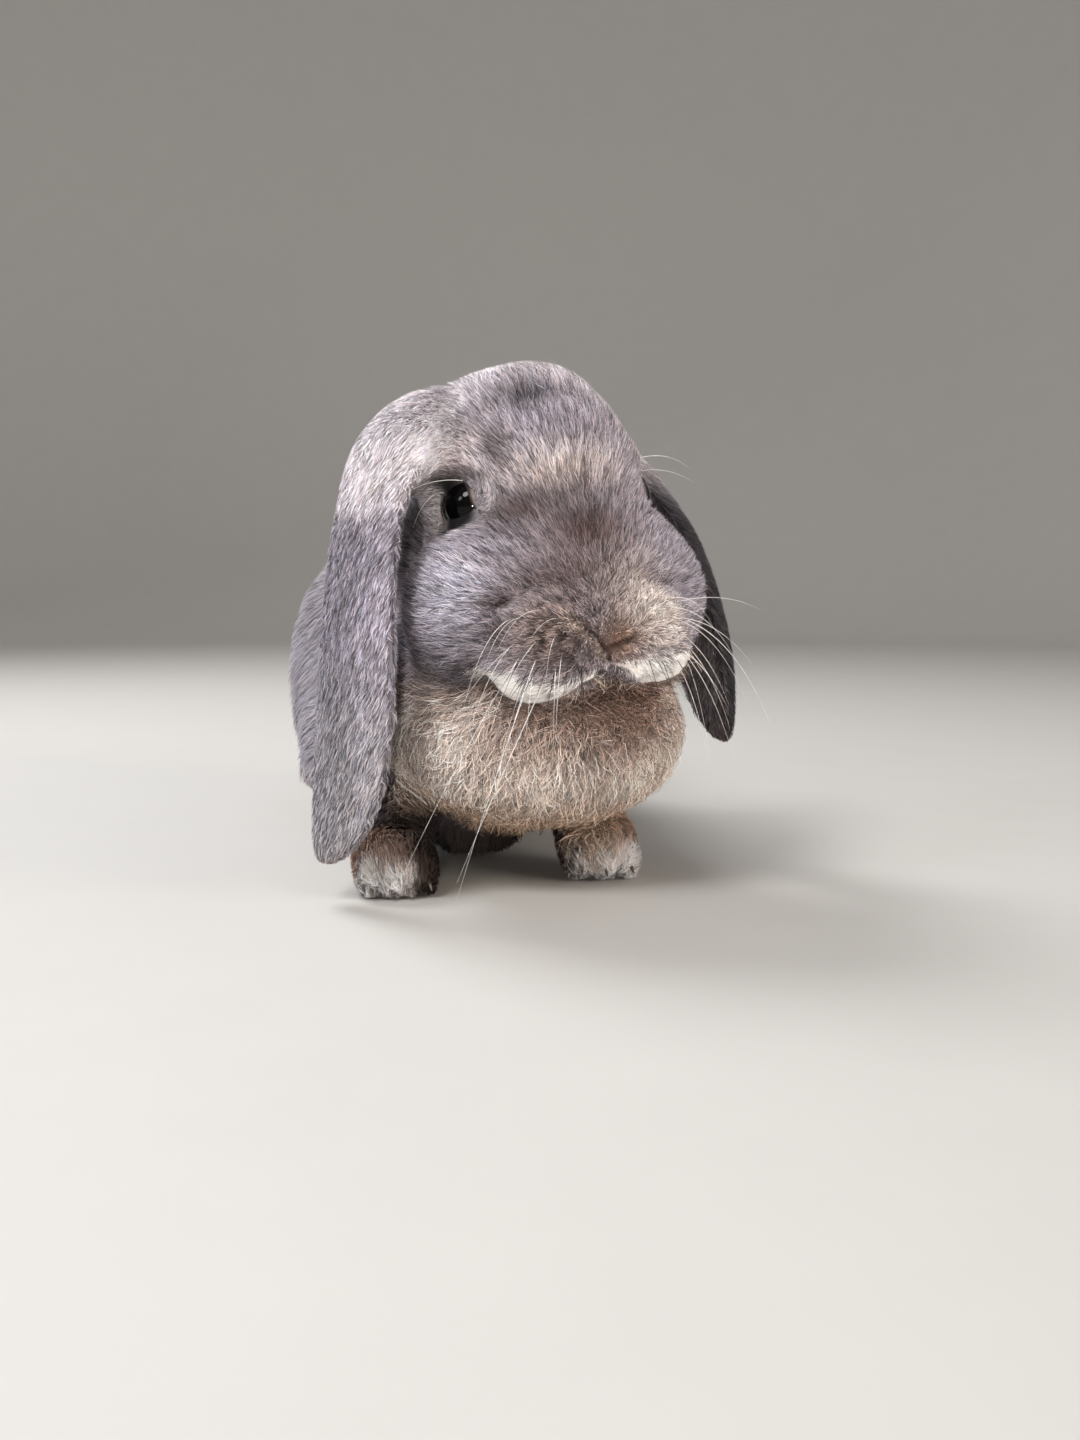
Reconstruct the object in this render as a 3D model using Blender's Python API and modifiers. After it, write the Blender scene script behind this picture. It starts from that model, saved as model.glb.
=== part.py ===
"""A crouching lop-eared rabbit, life size, as a still museum model in parted solids.

The solids are the outer form of the coat. The flesh is modelled whole, from rounded masses that are
fused and smoothed, and is then parted by thin cuts into head, neck, ruff, trunk, tail and legs.
The ears are lofted shells that meet the crown, and the eyes are balls in their sockets.
+X is the animal's left, -Y is the way that its body faces, and +Z is up. It rests on Z = 0.
"""

import math

import bmesh
import bpy
import numpy as np
from mathutils import Matrix, Vector

# Driving dimensions, in metres, all to the tips of the coat.
BODY_LENGTH = 0.232  # breast to rump
BACK_HEIGHT = 0.143  # floor to the top of the arched back
HAUNCH_WIDTH = 0.107  # across both thighs
HEAD = 0.048  # from the middle of the head to the nose tip, level; the unit of the head's masses
HEAD_MIDDLE = Vector((0.008, -0.0165, 0.1175))
HEAD_TURN = math.radians(15)  # the head looks this far to its left of the body
HEAD_ROLL = math.radians(4)  # and leans this far, left side up
EAR_WIDTH = 0.051
EAR_THICKNESS = 0.010
EAR_CUP = 0.16  # how far the edges of an ear curl in, as a share of its width
PAW_WIDTH = 0.0275
PAW_SPREAD = 0.034  # from the middle line to the middle of a forepaw
FOOT_LENGTH = 0.088  # a hind foot, heel to toes
EYE_RADIUS = 0.0088
CUT = 0.0004  # the gap that a cut leaves between two pieces

FAR = 0.5  # beyond every part of the animal

# How finely the flesh is made.
VOXEL = 0.0022
FLESH_TRIANGLES = 3800
CUTTER_SIDES = 12
HEAD_SOFTENING = 45
SOFTENING = 12

SIDES = {"left": 1, "right": -1}

FUR = {"color": (0.27, 0.24, 0.25), "roughness": 0.85}
PALE_FUR = {"color": (0.40, 0.31, 0.26), "roughness": 0.9}
EYE_GLOSS = {"color": (0.012, 0.010, 0.011), "roughness": 0.06}


def clear_scene():
    for obj in list(bpy.data.objects):
        bpy.data.objects.remove(obj)


def new_collection(name):
    made = bpy.data.collections.new(name)
    bpy.context.scene.collection.children.link(made)
    return made


def material(name, color, roughness):
    made = bpy.data.materials.new(name)
    made.use_nodes = True
    shader = made.node_tree.nodes["Principled BSDF"]
    shader.inputs["Base Color"].default_value = (*color, 1.0)
    shader.inputs["Roughness"].default_value = roughness
    shader.inputs["Metallic"].default_value = 0.0
    return made


def object_of(name, mesh, collection):
    obj = bpy.data.objects.new(name, mesh)
    collection.objects.link(obj)
    return obj


def baked(obj):
    """The object's mesh with its modifiers applied, in its own space."""
    bpy.context.view_layer.update()
    graph = bpy.context.evaluated_depsgraph_get()
    return bpy.data.meshes.new_from_object(obj.evaluated_get(graph), depsgraph=graph)


# ---- Rounded masses -------------------------------------------------------------------------


def ball(collection, name, middle, radii, turn=None, segments=28):
    """An ellipsoid, from a sphere primitive that is stretched, turned and put in its place."""
    shape = bmesh.new()
    bmesh.ops.create_uvsphere(shape, u_segments=segments, v_segments=segments * 2 // 3, radius=1)
    stretch = Matrix.Diagonal((*radii, 1))
    place = Matrix.Translation(middle) @ (turn or Matrix.Identity(4)) @ stretch
    shape.transform(place)
    mesh = bpy.data.meshes.new(name)
    shape.to_mesh(mesh)
    shape.free()
    return object_of(name, mesh, collection)


def limb(collection, name, points, radii):
    """A round limb: a curve through a few points, each with its own radius, made a closed mesh."""
    curve = bpy.data.curves.new(name, "CURVE")
    curve.dimensions = "3D"
    curve.bevel_depth = 1.0
    curve.bevel_resolution = 4
    curve.use_fill_caps = True
    spline = curve.splines.new("BEZIER")
    spline.bezier_points.add(len(points) - 1)
    for knot, point, radius in zip(spline.bezier_points, points, radii):
        knot.co = point
        knot.radius = radius
        knot.handle_left_type = knot.handle_right_type = "AUTO"
    guide = object_of(name, curve, collection)
    mesh = baked(guide)
    bpy.data.objects.remove(guide)
    shape = bmesh.new()
    shape.from_mesh(mesh)
    bmesh.ops.remove_doubles(shape, verts=shape.verts, dist=1e-6)
    bmesh.ops.recalc_face_normals(shape, faces=shape.faces)
    shape.to_mesh(mesh)
    shape.free()
    return object_of(name, mesh, collection)


def smooth_line(knots, shares):
    """Points on a smooth line through the knots (Catmull-Rom), one at each share of its way."""
    knots = np.asarray(knots, float)
    ends = np.vstack([2 * knots[0] - knots[1], knots, 2 * knots[-1] - knots[-2]])
    places = np.asarray(shares) * (len(knots) - 1)
    first = np.minimum(places.astype(int), len(knots) - 2)
    t = (places - first)[:, None]
    a, b, c, d = (ends[first + shift] for shift in range(4))
    return 0.5 * (
        2 * b + (c - a) * t + (2 * a - 5 * b + 4 * c - d) * t**2 + (3 * b - a - 3 * c + d) * t**3
    )


def skinned(collection, name, rings):
    """A closed loft: rings is an array of sections, each with the same number of points."""
    count, sides = rings.shape[:2]
    shape = bmesh.new()
    loops = [[shape.verts.new(point) for point in ring] for ring in rings]
    for low, high in zip(loops, loops[1:]):
        for i in range(sides):
            j = (i + 1) % sides
            shape.faces.new((low[i], low[j], high[j], high[i]))
    for loop in (loops[0], loops[-1]):
        middle = shape.verts.new(sum((v.co for v in loop), Vector()) / sides)
        for i in range(sides):
            shape.faces.new((loop[i], loop[(i + 1) % sides], middle))
    bmesh.ops.recalc_face_normals(shape, faces=shape.faces)
    mesh = bpy.data.meshes.new(name)
    shape.to_mesh(mesh)
    shape.free()
    return object_of(name, mesh, collection)


# ---- The trunk, ruff and neck ---------------------------------------------------------------


def trunk_mass(collection):
    """The barrel of the body, lofted from breast to rump through upright oval sections."""
    # Along the body, then the section's top, bottom and half width, as shares of the sizes above.
    breast = (-0.02, 0.50, 0.26, 0.30)
    shoulder = (0.14, 0.80, 0.10, 0.66)
    ribs = (0.36, 0.955, 0.03, 0.88)
    loin = (0.57, 1.0, -0.01, 0.94)
    hips = (0.76, 0.90, -0.01, 0.88)
    rump = (0.91, 0.66, 0.02, 0.66)
    seat = (0.985, 0.46, 0.12, 0.34)
    stations = [breast, shoulder, ribs, loin, hips, rump, seat]
    profile = smooth_line(stations, np.linspace(0, 1, 30))
    angles = np.linspace(0, 2 * math.pi, 32, endpoint=False)
    rings = []
    for along, top, bottom, half in profile:
        middle, height = (top + bottom) / 2 * BACK_HEIGHT, (top - bottom) / 2 * BACK_HEIGHT
        # A little fuller below than above, as a sitting body spreads.
        spread = 1 - 0.10 * np.sin(angles)
        x = half * HAUNCH_WIDTH / 2 * np.cos(angles) * spread
        z = middle + height * np.sin(angles)
        rings.append(np.stack([x, np.full_like(x, along * BODY_LENGTH), z], axis=1))
    return skinned(collection, "trunk_mass", np.array(rings))


def breast_masses(collection):
    """The neck, and the thick ruff of long hair that the chin rests in."""
    middle = Vector((0.011, -0.019, 0.049))
    ball(collection, "ruff_front", middle, (0.048, 0.032, 0.031))
    ball(collection, "ruff_back", middle + Vector((-0.002, 0.022, 0.010)), (0.050, 0.034, 0.042))
    nape = HEAD_MIDDLE + Vector((-0.006, 0.040, -0.018))
    ball(collection, "nape", nape, (0.037, 0.040, 0.037))
    return middle


# ---- The head -------------------------------------------------------------------------------


def head_place():
    """Turns the head's own axes, in units of HEAD, into the body's."""
    turn = Matrix.Rotation(HEAD_TURN, 4, "Z") @ Matrix.Rotation(-HEAD_ROLL, 4, "Y")
    return Matrix.Translation(HEAD_MIDDLE) @ turn @ Matrix.Scale(HEAD, 4)


def head_masses(collection):
    """The skull, brow, cheeks and muzzle. The face hangs steeply, so that the brow looks ahead."""
    place = head_place()

    def mass(name, middle, radii, pitch=0.0):
        obj = ball(collection, name, Vector(middle), radii, Matrix.Rotation(pitch, 4, "X"))
        obj.data.transform(place)
        return obj

    mass("skull", (0, 0.10, 0.15), (0.70, 0.83, 0.78))
    mass("brow", (0, -0.24, 0.10), (0.59, 0.56, 0.68))
    mass("face", (0, -0.42, -0.42), (0.58, 0.54, 0.68))
    mass("muzzle", (0, -0.60, -0.78), (0.56, 0.46, 0.42))
    mass("jaw", (0, -0.26, -0.86), (0.62, 0.56, 0.38))
    mass("crown", (0, 0.34, 0.68), (0.52, 0.28, 0.26))
    for side in SIDES.values():
        mass("cheek", (side * 0.47, -0.21, -0.60), (0.54, 0.62, 0.62))
        mass("whisker_pad", (side * 0.27, -0.74, -0.84), (0.37, 0.38, 0.37))


def eye_middle(side):
    """The middle of an eyeball: well to the side of the head, under the brow."""
    return head_place() @ Vector((side * 0.51, -0.23, 0.03))


# ---- The legs and tail ----------------------------------------------------------------------


def foreleg_points(side):
    """Elbow, wrist and the forepaw's middle. The left paw stands a little behind the right."""
    back = 0.013 if side > 0 else -0.001
    paw = Vector((side * PAW_SPREAD, back, 0.0105))
    wrist = paw + Vector((side * 0.001, 0.012, 0.012))
    elbow = Vector((side * PAW_SPREAD * 1.02, 0.046, 0.046))
    return elbow, wrist, paw


def foreleg_masses(collection, side):
    elbow, wrist, paw = foreleg_points(side)
    limb(collection, "forearm", [elbow, wrist, paw], [0.020, 0.0135, 0.0115])
    ball(collection, "upper_arm", elbow + Vector((0, 0.004, 0.006)), (0.020, 0.028, 0.030))
    half = PAW_WIDTH / 2
    ball(collection, "forepaw", paw + Vector((0, -0.007, -0.001)), (half, 0.017, 0.0125))
    for toe in (-1.05, -0.36, 0.36, 1.05):
        reach = 0.0185 - 0.0035 * abs(toe)
        tip = paw + Vector((toe * half * 0.62, -reach, -0.0045))
        ball(collection, "toe", tip, (half * 0.33, 0.0075, 0.0075), segments=14)


def thigh_middle(side):
    return Vector((side * HAUNCH_WIDTH * 0.325, BODY_LENGTH * 0.655, BACK_HEIGHT * 0.385))


def foot_middle(side):
    return Vector((side * HAUNCH_WIDTH * 0.33, BODY_LENGTH * 0.61, 0.0105))


def hindleg_masses(collection, side):
    """A folded hind leg: the round thigh, the knee before it and the long foot flat on the floor."""
    thigh = thigh_middle(side)
    tilt = Matrix.Rotation(math.radians(-24), 4, "X")
    ball(collection, "thigh", thigh, (0.0245, 0.056, 0.049), tilt)
    ball(collection, "knee", thigh + Vector((side * 0.002, -0.032, -0.022)), (0.021, 0.028, 0.028))
    foot = foot_middle(side)
    heel = foot + Vector((-side * 0.005, FOOT_LENGTH * 0.42, 0.004))
    toes = foot + Vector((0, -FOOT_LENGTH * 0.42, -0.001))
    limb(collection, "hind_foot", [heel, foot, toes], [0.0125, 0.0125, 0.0120])
    for toe in (-0.9, -0.3, 0.3, 0.9):
        reach = 0.006 - 0.003 * abs(toe)
        tip = toes + Vector((toe * 0.0085, -reach, -0.004))
        ball(collection, "toe", tip, (0.0045, 0.008, 0.0075), segments=14)


def tail_middle():
    return Vector((0.0, BODY_LENGTH * 0.98, BACK_HEIGHT * 0.37))


def tail_mass(collection):
    """A short upturned tail, pressed to the rump."""
    turn = Matrix.Rotation(math.radians(-4), 4, "X")
    return ball(collection, "tail_mass", tail_middle(), (0.020, 0.017, 0.031), turn, CUTTER_SIDES)


def leg_regions(collection, side):
    """Where the limbs are cut from the body, paws and feet first."""
    def beside(name, inner, outer, near, far, top):
        xs = sorted((side * inner, side * outer))
        return block(collection, name, (xs[0], near, -FAR), (xs[1], far, top))

    foot = foot_middle(side)
    thigh = thigh_middle(side) + Vector((side * 0.012, 0, 0))
    tilt = Matrix.Rotation(math.radians(-24), 4, "X")
    yield "forepaw", beside("forepaw_region", 0.010, 0.070, -0.050, 0.030, 0.0190)
    yield "foreleg", beside("foreleg_region", 0.0125, 0.075, -0.050, 0.064, 0.062)
    near, far = foot.y - FOOT_LENGTH * 0.66, foot.y + FOOT_LENGTH * 0.60
    yield "hind_foot", beside("hind_foot_region", 0.031, 0.080, near, far, 0.0215)
    reach = (0.032, 0.064, 0.058)
    yield "hind_leg", as_cutter(ball(collection, "hind_leg_region", thigh, reach, tilt, CUTTER_SIDES))


# ---- Fusing and parting ---------------------------------------------------------------------


def fused(collection, name, softening):
    """All the collection's masses as one smooth closed mesh: joined, remeshed and softened."""
    shape = bmesh.new()
    for piece in list(collection.objects):
        shape.from_mesh(piece.data)
        bpy.data.objects.remove(piece)
    mesh = bpy.data.meshes.new(name)
    shape.to_mesh(mesh)
    shape.free()
    flesh = as_cutter(object_of(name, mesh, collection))
    remesh = flesh.modifiers.new("remesh", "REMESH")
    remesh.mode = "VOXEL"
    remesh.voxel_size = VOXEL
    soften = flesh.modifiers.new("soften", "SMOOTH")
    soften.factor = 0.5
    soften.iterations = softening
    flesh.data = baked(flesh)
    flesh.modifiers.clear()
    return flesh


def thin(obj, triangles):
    """Thins a mesh of quads to about this many triangles."""
    change = obj.modifiers.new("thin", "DECIMATE")
    change.ratio = triangles / (2 * len(obj.data.polygons))
    change.use_collapse_triangulate = True
    obj.data = baked(obj)
    obj.modifiers.clear()


def as_cutter(obj):
    obj.hide_render = True
    obj.display_type = "WIRE"
    return obj


def block(collection, name, low, high, place=None):
    """A box cutter between two corners, in the axes that place gives."""
    shape = bmesh.new()
    bmesh.ops.create_cube(shape, size=1)
    low, high = Vector(low), Vector(high)
    shape.transform(Matrix.Translation((low + high) / 2) @ Matrix.Diagonal((*(high - low), 1)))
    shape.transform(place or Matrix.Identity(4))
    mesh = bpy.data.meshes.new(name)
    shape.to_mesh(mesh)
    shape.free()
    return as_cutter(object_of(name, mesh, collection))


def front_wedge(collection, name, corner, dip, lean):
    """All that lies before and above an edge across the body: its floor dips forwards by one angle
    and its back face leans backwards by the other."""
    dip, lean = math.radians(dip), math.radians(lean)
    back = Vector((0, math.cos(dip), math.sin(dip)))
    up = Vector((0, math.sin(lean), math.cos(lean)))
    axes = Matrix((Vector((1, 0, 0)), back, up)).transposed().to_4x4()
    place = Matrix.Translation((0, *corner)) @ axes
    return block(collection, name, (-FAR, -FAR, 0), (FAR, 0, FAR), place)


def grown(collection, obj, by=CUT):
    """A copy of a cutter whose faces stand this far outside its own."""
    copy = object_of(obj.name + "_grown", obj.data.copy(), collection)
    swell = copy.modifiers.new("swell", "DISPLACE")
    swell.strength = by
    swell.mid_level = 0.0
    copy.data = baked(copy)
    copy.modifiers.clear()
    return as_cutter(copy)


def combine(obj, cutter, operation):
    change = obj.modifiers.new(operation.lower(), "BOOLEAN")
    change.operation = operation
    change.object = cutter
    obj.data = baked(obj)
    obj.modifiers.clear()


def only_largest(obj):
    """Keeps the largest connected part of a piece, and drops crumbs that a cut may leave."""
    shape = bmesh.new()
    shape.from_mesh(obj.data)
    bmesh.ops.triangulate(shape, faces=shape.faces)
    left = set(shape.verts)
    groups = []
    while left:
        group, front = set(), [left.pop()]
        while front:
            vert = front.pop()
            group.add(vert)
            near = {edge.other_vert(vert) for edge in vert.link_edges} & left
            left -= near
            front.extend(near)
        groups.append(group)
    kept = max(groups, key=len)
    bmesh.ops.delete(shape, geom=[v for g in groups if g is not kept for v in g], context="VERTS")
    shape.to_mesh(obj.data)
    shape.free()


def part_off(model, cutters, rest, name, region, look):
    """Cuts the piece inside region off the rest, and leaves a thin gap between the two."""
    piece = object_of(name, rest.data.copy(), model)
    combine(piece, region, "INTERSECT")
    only_largest(piece)
    combine(rest, grown(cutters, region), "DIFFERENCE")
    finish(piece, look)
    return piece


def finish(obj, look):
    obj.data.materials.clear()
    obj.data.materials.append(look)
    obj.data.shade_smooth()
    obj.data.set_sharp_from_angle(angle=math.radians(40))
    obj.hide_render = False
    obj.display_type = "TEXTURED"


def stand_on_origin(model):
    """Moves every piece so that the origin is under the middle of the whole, on the floor."""
    corners = np.array([v.co for obj in model.objects for v in obj.data.vertices])
    low, high = corners.min(axis=0), corners.max(axis=0)
    middle = (low + high) / 2
    shift = Matrix.Translation((-middle[0], -middle[1], -low[2]))
    for obj in model.objects:
        obj.data.transform(shift)
    print("shift of the origin, mm:", [round(1000 * s, 3) for s in shift.translation])


# ---- The ears -------------------------------------------------------------------------------


def ear(collection, name, knots, twist, cup, width=EAR_WIDTH):
    """A hanging ear: a flat oval section, cupped towards the head, carried along a smooth line.

    knots are places on its middle line in the head's axes, in units of HEAD, twist the angle in
    degrees of its broad side at root and tip, and cup how far its edges curl inwards.
    """
    steps, sides = 22, 14
    # Ears hang by their weight, so the head's lean isn't given to them.
    place = Matrix.Translation(HEAD_MIDDLE) @ Matrix.Rotation(HEAD_TURN, 4, "Z")
    # The sections are closer together towards the tip, which is the more curved.
    share = np.sin(np.linspace(0, math.pi / 2, steps)) ** 1.1
    line = smooth_line(knots, share) * HEAD
    ahead = np.gradient(line, share, axis=0)
    ahead /= np.linalg.norm(ahead, axis=1, keepdims=True)
    outward = math.copysign(1.0, knots[-1][0])
    turned = np.radians(twist[0] + (twist[1] - twist[0]) * share)
    broad = np.stack([np.sin(turned) * outward, -np.cos(turned), np.zeros(steps)], axis=1)
    broad -= ahead * np.sum(broad * ahead, axis=1, keepdims=True)
    broad /= np.linalg.norm(broad, axis=1, keepdims=True)
    thick = np.cross(ahead, broad)
    thick *= np.sign(np.sum(thick * np.array([outward, 0, 0.2]), axis=1, keepdims=True))
    # A narrow root swells to the full width by a quarter of the way, and the tip is a round spoon.
    swell = 0.50 + 0.50 * np.sin(np.clip(share / 0.28, 0, 1) * math.pi / 2)
    tip = np.sqrt(np.clip(1 - np.clip((share - 0.70) / 0.302, 0, 1) ** 2.2, 0.0005, 1))
    half = width / 2 * swell * tip
    depth = EAR_THICKNESS / 2 * (1.0 + 1.3 * np.clip(1 - share / 0.40, 0, 1)) * np.sqrt(tip)
    curl = cup * width * swell * tip * np.clip(share / 0.25, 0.2, 1)
    angles = np.linspace(0, 2 * math.pi, sides, endpoint=False)
    across, out = np.cos(angles), np.sin(angles)
    rings = (
        line[:, None]
        + broad[:, None] * (half[:, None] * across)[..., None]
        + thick[:, None] * (depth[:, None] * out - curl[:, None] * across**2)[..., None]
    )
    shell = skinned(collection, name, rings)
    shell.data.transform(place)
    return shell


def right_ear_line():
    """It springs from the crown, folds over at the side and hangs beside the cheek to the paw."""
    return [
        (-0.30, 0.34, 0.56),
        (-0.70, 0.28, 0.52),
        (-1.00, 0.18, 0.28),
        (-1.16, 0.13, -0.12),
        (-1.22, 0.13, -0.64),
        (-1.25, 0.15, -1.12),
        (-1.27, 0.18, -1.66),
        (-1.34, 0.24, -2.21),
    ]


def left_ear_line():
    """It leaves the back of the crown, lies close behind the cheek and hangs a little backwards."""
    return [
        (0.30, 0.46, 0.52),
        (0.67, 0.50, 0.45),
        (1.03, 0.46, 0.20),
        (1.30, 0.38, -0.16),
        (1.45, 0.30, -0.58),
        (1.55, 0.24, -1.05),
        (1.61, 0.20, -1.60),
    ]


# ---- The whole ------------------------------------------------------------------------------


def build():
    clear_scene()
    model = new_collection("lop_rabbit")
    cutters = new_collection("cutters")
    fur = material("fur", **FUR)
    pale = material("pale_fur", **PALE_FUR)
    gloss = material("eye", **EYE_GLOSS)

    head_masses(cutters)
    fused(cutters, "head_flesh", HEAD_SOFTENING)
    trunk_mass(cutters)
    ruff = breast_masses(cutters)
    for side in SIDES.values():
        foreleg_masses(cutters, side)
        hindleg_masses(cutters, side)
    tail_mass(cutters)
    rest = fused(cutters, "flesh", SOFTENING)
    thin(rest, FLESH_TRIANGLES)
    combine(rest, block(cutters, "floor", (-FAR, -FAR, -FAR), (FAR, FAR, 0)), "DIFFERENCE")

    for word, side in SIDES.items():
        middle = eye_middle(side)
        eye = ball(model, "eye_" + word, middle, (EYE_RADIUS,) * 3, segments=CUTTER_SIDES)
        socket = ball(cutters, "socket_" + word, middle, (EYE_RADIUS + CUT,) * 3, segments=CUTTER_SIDES)
        combine(rest, as_cutter(socket), "DIFFERENCE")
        finish(eye, gloss)

    whole = as_cutter(object_of("whole", rest.data.copy(), cutters))
    crown = grown(cutters, whole)
    for word, line, twist in (("right", right_ear_line(), (12, -8)), ("left", left_ear_line(), (0, -14))):
        shell = ear(model, "ear_" + word, line, twist, EAR_CUP)
        combine(shell, crown, "DIFFERENCE")
        only_largest(shell)
        finish(shell, fur)

    def part_off_here(name, region, look):
        part_off(model, cutters, rest, name, region, look)

    part_off_here("head", front_wedge(cutters, "head_region", (0.015, 0.074), 13, 14), fur)
    ruff_middle = ruff + Vector((0, 0.004, 0.002))
    ruff_region = ball(cutters, "ruff_region", ruff_middle, (0.057, 0.039, 0.040), None, CUTTER_SIDES)
    part_off_here("ruff", as_cutter(ruff_region), pale)
    part_off_here("neck", front_wedge(cutters, "neck_region", (0.050, 0.060), 4, 12), fur)
    for word, side in SIDES.items():
        for name, region in leg_regions(cutters, side):
            part_off_here(name + "_" + word, region, fur)
    tail_region = tail_mass(cutters)
    part_off_here("tail", as_cutter(grown(cutters, tail_region, 0.0015)), pale)
    tail_region.hide_render = True
    only_largest(rest)
    trunk = object_of("trunk", rest.data.copy(), model)
    finish(trunk, fur)
    stand_on_origin(model)


build()
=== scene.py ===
# A crouching lop rabbit: one skin under a coat of short tufts, with eyes, lids, claws and whiskers.
# +X is the animal's left, -Y the way that its body faces, +Z up. All sizes are in metres.
import math

import bmesh
import bpy
import numpy as np
from mathutils import Matrix, Vector


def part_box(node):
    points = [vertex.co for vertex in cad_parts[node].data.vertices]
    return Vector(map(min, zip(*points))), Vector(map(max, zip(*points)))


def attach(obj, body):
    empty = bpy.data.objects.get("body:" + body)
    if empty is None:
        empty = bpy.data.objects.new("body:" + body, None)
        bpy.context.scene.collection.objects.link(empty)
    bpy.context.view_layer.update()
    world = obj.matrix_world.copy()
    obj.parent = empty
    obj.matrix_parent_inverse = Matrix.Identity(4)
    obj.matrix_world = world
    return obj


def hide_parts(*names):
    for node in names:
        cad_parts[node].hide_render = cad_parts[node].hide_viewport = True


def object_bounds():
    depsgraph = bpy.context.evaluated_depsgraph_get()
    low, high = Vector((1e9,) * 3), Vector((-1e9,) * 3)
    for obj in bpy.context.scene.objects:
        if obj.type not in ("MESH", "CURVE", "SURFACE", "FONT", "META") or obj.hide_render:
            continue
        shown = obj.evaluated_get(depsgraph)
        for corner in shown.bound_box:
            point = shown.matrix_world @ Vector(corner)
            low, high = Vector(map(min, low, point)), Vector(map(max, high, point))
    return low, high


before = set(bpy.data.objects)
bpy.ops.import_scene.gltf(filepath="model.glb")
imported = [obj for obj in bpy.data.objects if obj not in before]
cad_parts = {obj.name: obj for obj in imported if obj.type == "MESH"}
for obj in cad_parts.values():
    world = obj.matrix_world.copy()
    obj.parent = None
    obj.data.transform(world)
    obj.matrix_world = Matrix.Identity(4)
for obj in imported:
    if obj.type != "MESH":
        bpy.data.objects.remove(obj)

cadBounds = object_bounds()
rng = np.random.default_rng(28)


# small helpers for arrays of points

def lengthOf(v):  # the root of the sum of the squares, kept as a column
    return np.sqrt(np.sum(v * v, axis=-1, keepdims=True))


def unit(v):  # v over its own length
    return v / np.maximum(lengthOf(v), 1e-12)


def tangent(v, n):  # what is left of v when its part along n is taken away, at length 1
    return unit(v - n * np.sum(v * n, axis=-1, keepdims=True))


def ramp(x, low, high):  # 0 below low, 1 above high, and smooth between: 3t^2 - 2t^3
    t = np.clip((x - low) / (high - low), 0, 1)
    return t * t * (3 - 2 * t)


def spot(p, middle, radii):  # a bell over an oval: exp(-d^2), with d measured in its radii
    return np.exp(-np.sum(((p - np.array(middle)) / np.array(radii)) ** 2, axis=-1))


def mixed(a, b, share):  # a where share is 0, b where it is 1
    share = np.asarray(share)[..., None]
    return np.asarray(a) * (1 - share) + np.asarray(b) * share


def waves(p, size, seed, count=9):  # smooth noise of about -1 to 1: a sum of sines in random directions
    r = np.random.default_rng(seed)
    ways = r.normal(size=(count, 3))
    ways = unit(ways) * r.uniform(0.6, 1.5, (count, 1)) * 2 * math.pi / size
    return np.sin(p @ ways.T + r.uniform(0, 6.28, count)).sum(axis=1) / math.sqrt(count / 2) / 1.4


# where the parts are, from the frame

def boxOf(name):  # the low and the high corner of a node
    low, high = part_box(name)
    return np.array(low), np.array(high)


def middleOf(name):  # half way between a node's two corners
    low, high = boxOf(name)
    return (low + high) / 2


headFacts = {  # as the solids have them
    "eye": (0.51, -0.23, 0.03),  # an eye's middle, in head units
    "fromPaws": (0.008, -0.0165),  # the head's middle, from the middle between the forepaws
}
eyeMiddles = {"right": middleOf("eye_right"), "left": middleOf("eye_left")}
eyeSpan = eyeMiddles["left"] - eyeMiddles["right"]
# the head unit is about as long as the nose tip lies ahead of the head's middle
headUnit = np.linalg.norm(eyeSpan) / (2 * headFacts["eye"][0])
headX = eyeSpan / np.linalg.norm(eyeSpan)
headY = unit(np.cross([0, 0, 1], headX))
headZ = np.cross(headX, headY)
headTurn = np.stack([headX, headY, headZ])  # its rows are the head's own axes
betweenEyes = (eyeMiddles["right"] + eyeMiddles["left"]) / 2
headMiddle = betweenEyes - headUnit * (np.array(headFacts["eye"]) * [0, 1, 1]) @ headTurn
pawsMiddle = np.append(headMiddle[:2] - headFacts["fromPaws"], 0.0)


def toHead(p):  # the head's own coordinates, in head units: left, back and up
    return (p - headMiddle) @ headTurn.T / headUnit


def fromHead(h):  # back again: the shares of the head's axes, from its middle
    return np.asarray(h) @ headTurn * headUnit + headMiddle


nose = {"tip": (-0.05, -1.05, -0.78), "fork": (-0.08, -1.05, -0.82)}

eyeShape = {
    "radius": 0.0088, "pupil": 0.0042, "iris": 0.0076,
    "look": (0.93, -0.36, 0.04),  # the way an eye looks, for the left one, in head axes
    "opening": (0.0055, 0.0075),  # the lids' half width and half height
    "corner": (-0.56, 0.30, 0.24),  # the front corner: its angle below level, half width and draw
    "lean": 0.26,  # how far the opening's top leans back, in radians
    "near": (0.0085, 0.0185),  # between these distances the short coat of the lids grows longer
    "rings": 49, "sides": 64,
    "cornea": (0.035, 0.55),  # how far it swells the ball, and the angle over which that falls away
    "pupilTone": 0.0010, "irisTone": (0.0026, 0.0018, 0.0018), "rimTone": 0.006,
    "pupilEdge": (-0.0006, 0.0006), "irisEdge": (-0.0005, 0.0008),  # each fades over these
    "fibres": (0.3, 23, 41),  # the iris' streaks: how strong, and two counts of waves round it
    "roughness": 0.10, "specular": 0.02, "wet": 0.24, "wetRoughness": 0.04,
}


def lidReach(turn):  # how far the opening's rim is drawn out at each angle: a bell at the front corner
    angle, half, out = eyeShape["corner"]
    off = np.angle(np.exp(1j * (turn - angle)))
    return 1 + out * np.exp(-(off / half) ** 2)


def eyeAxes(side):  # outwards along the look, up across it with the lean, and forwards
    sign = 1 if side == "left" else -1
    out = unit(np.array(eyeShape["look"]) * [sign, 1, 1]) @ headTurn
    up = tangent(headZ + math.tan(eyeShape["lean"]) * headY, out)
    front = np.cross(out, up) * sign
    return out, up, front


# materials

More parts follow.
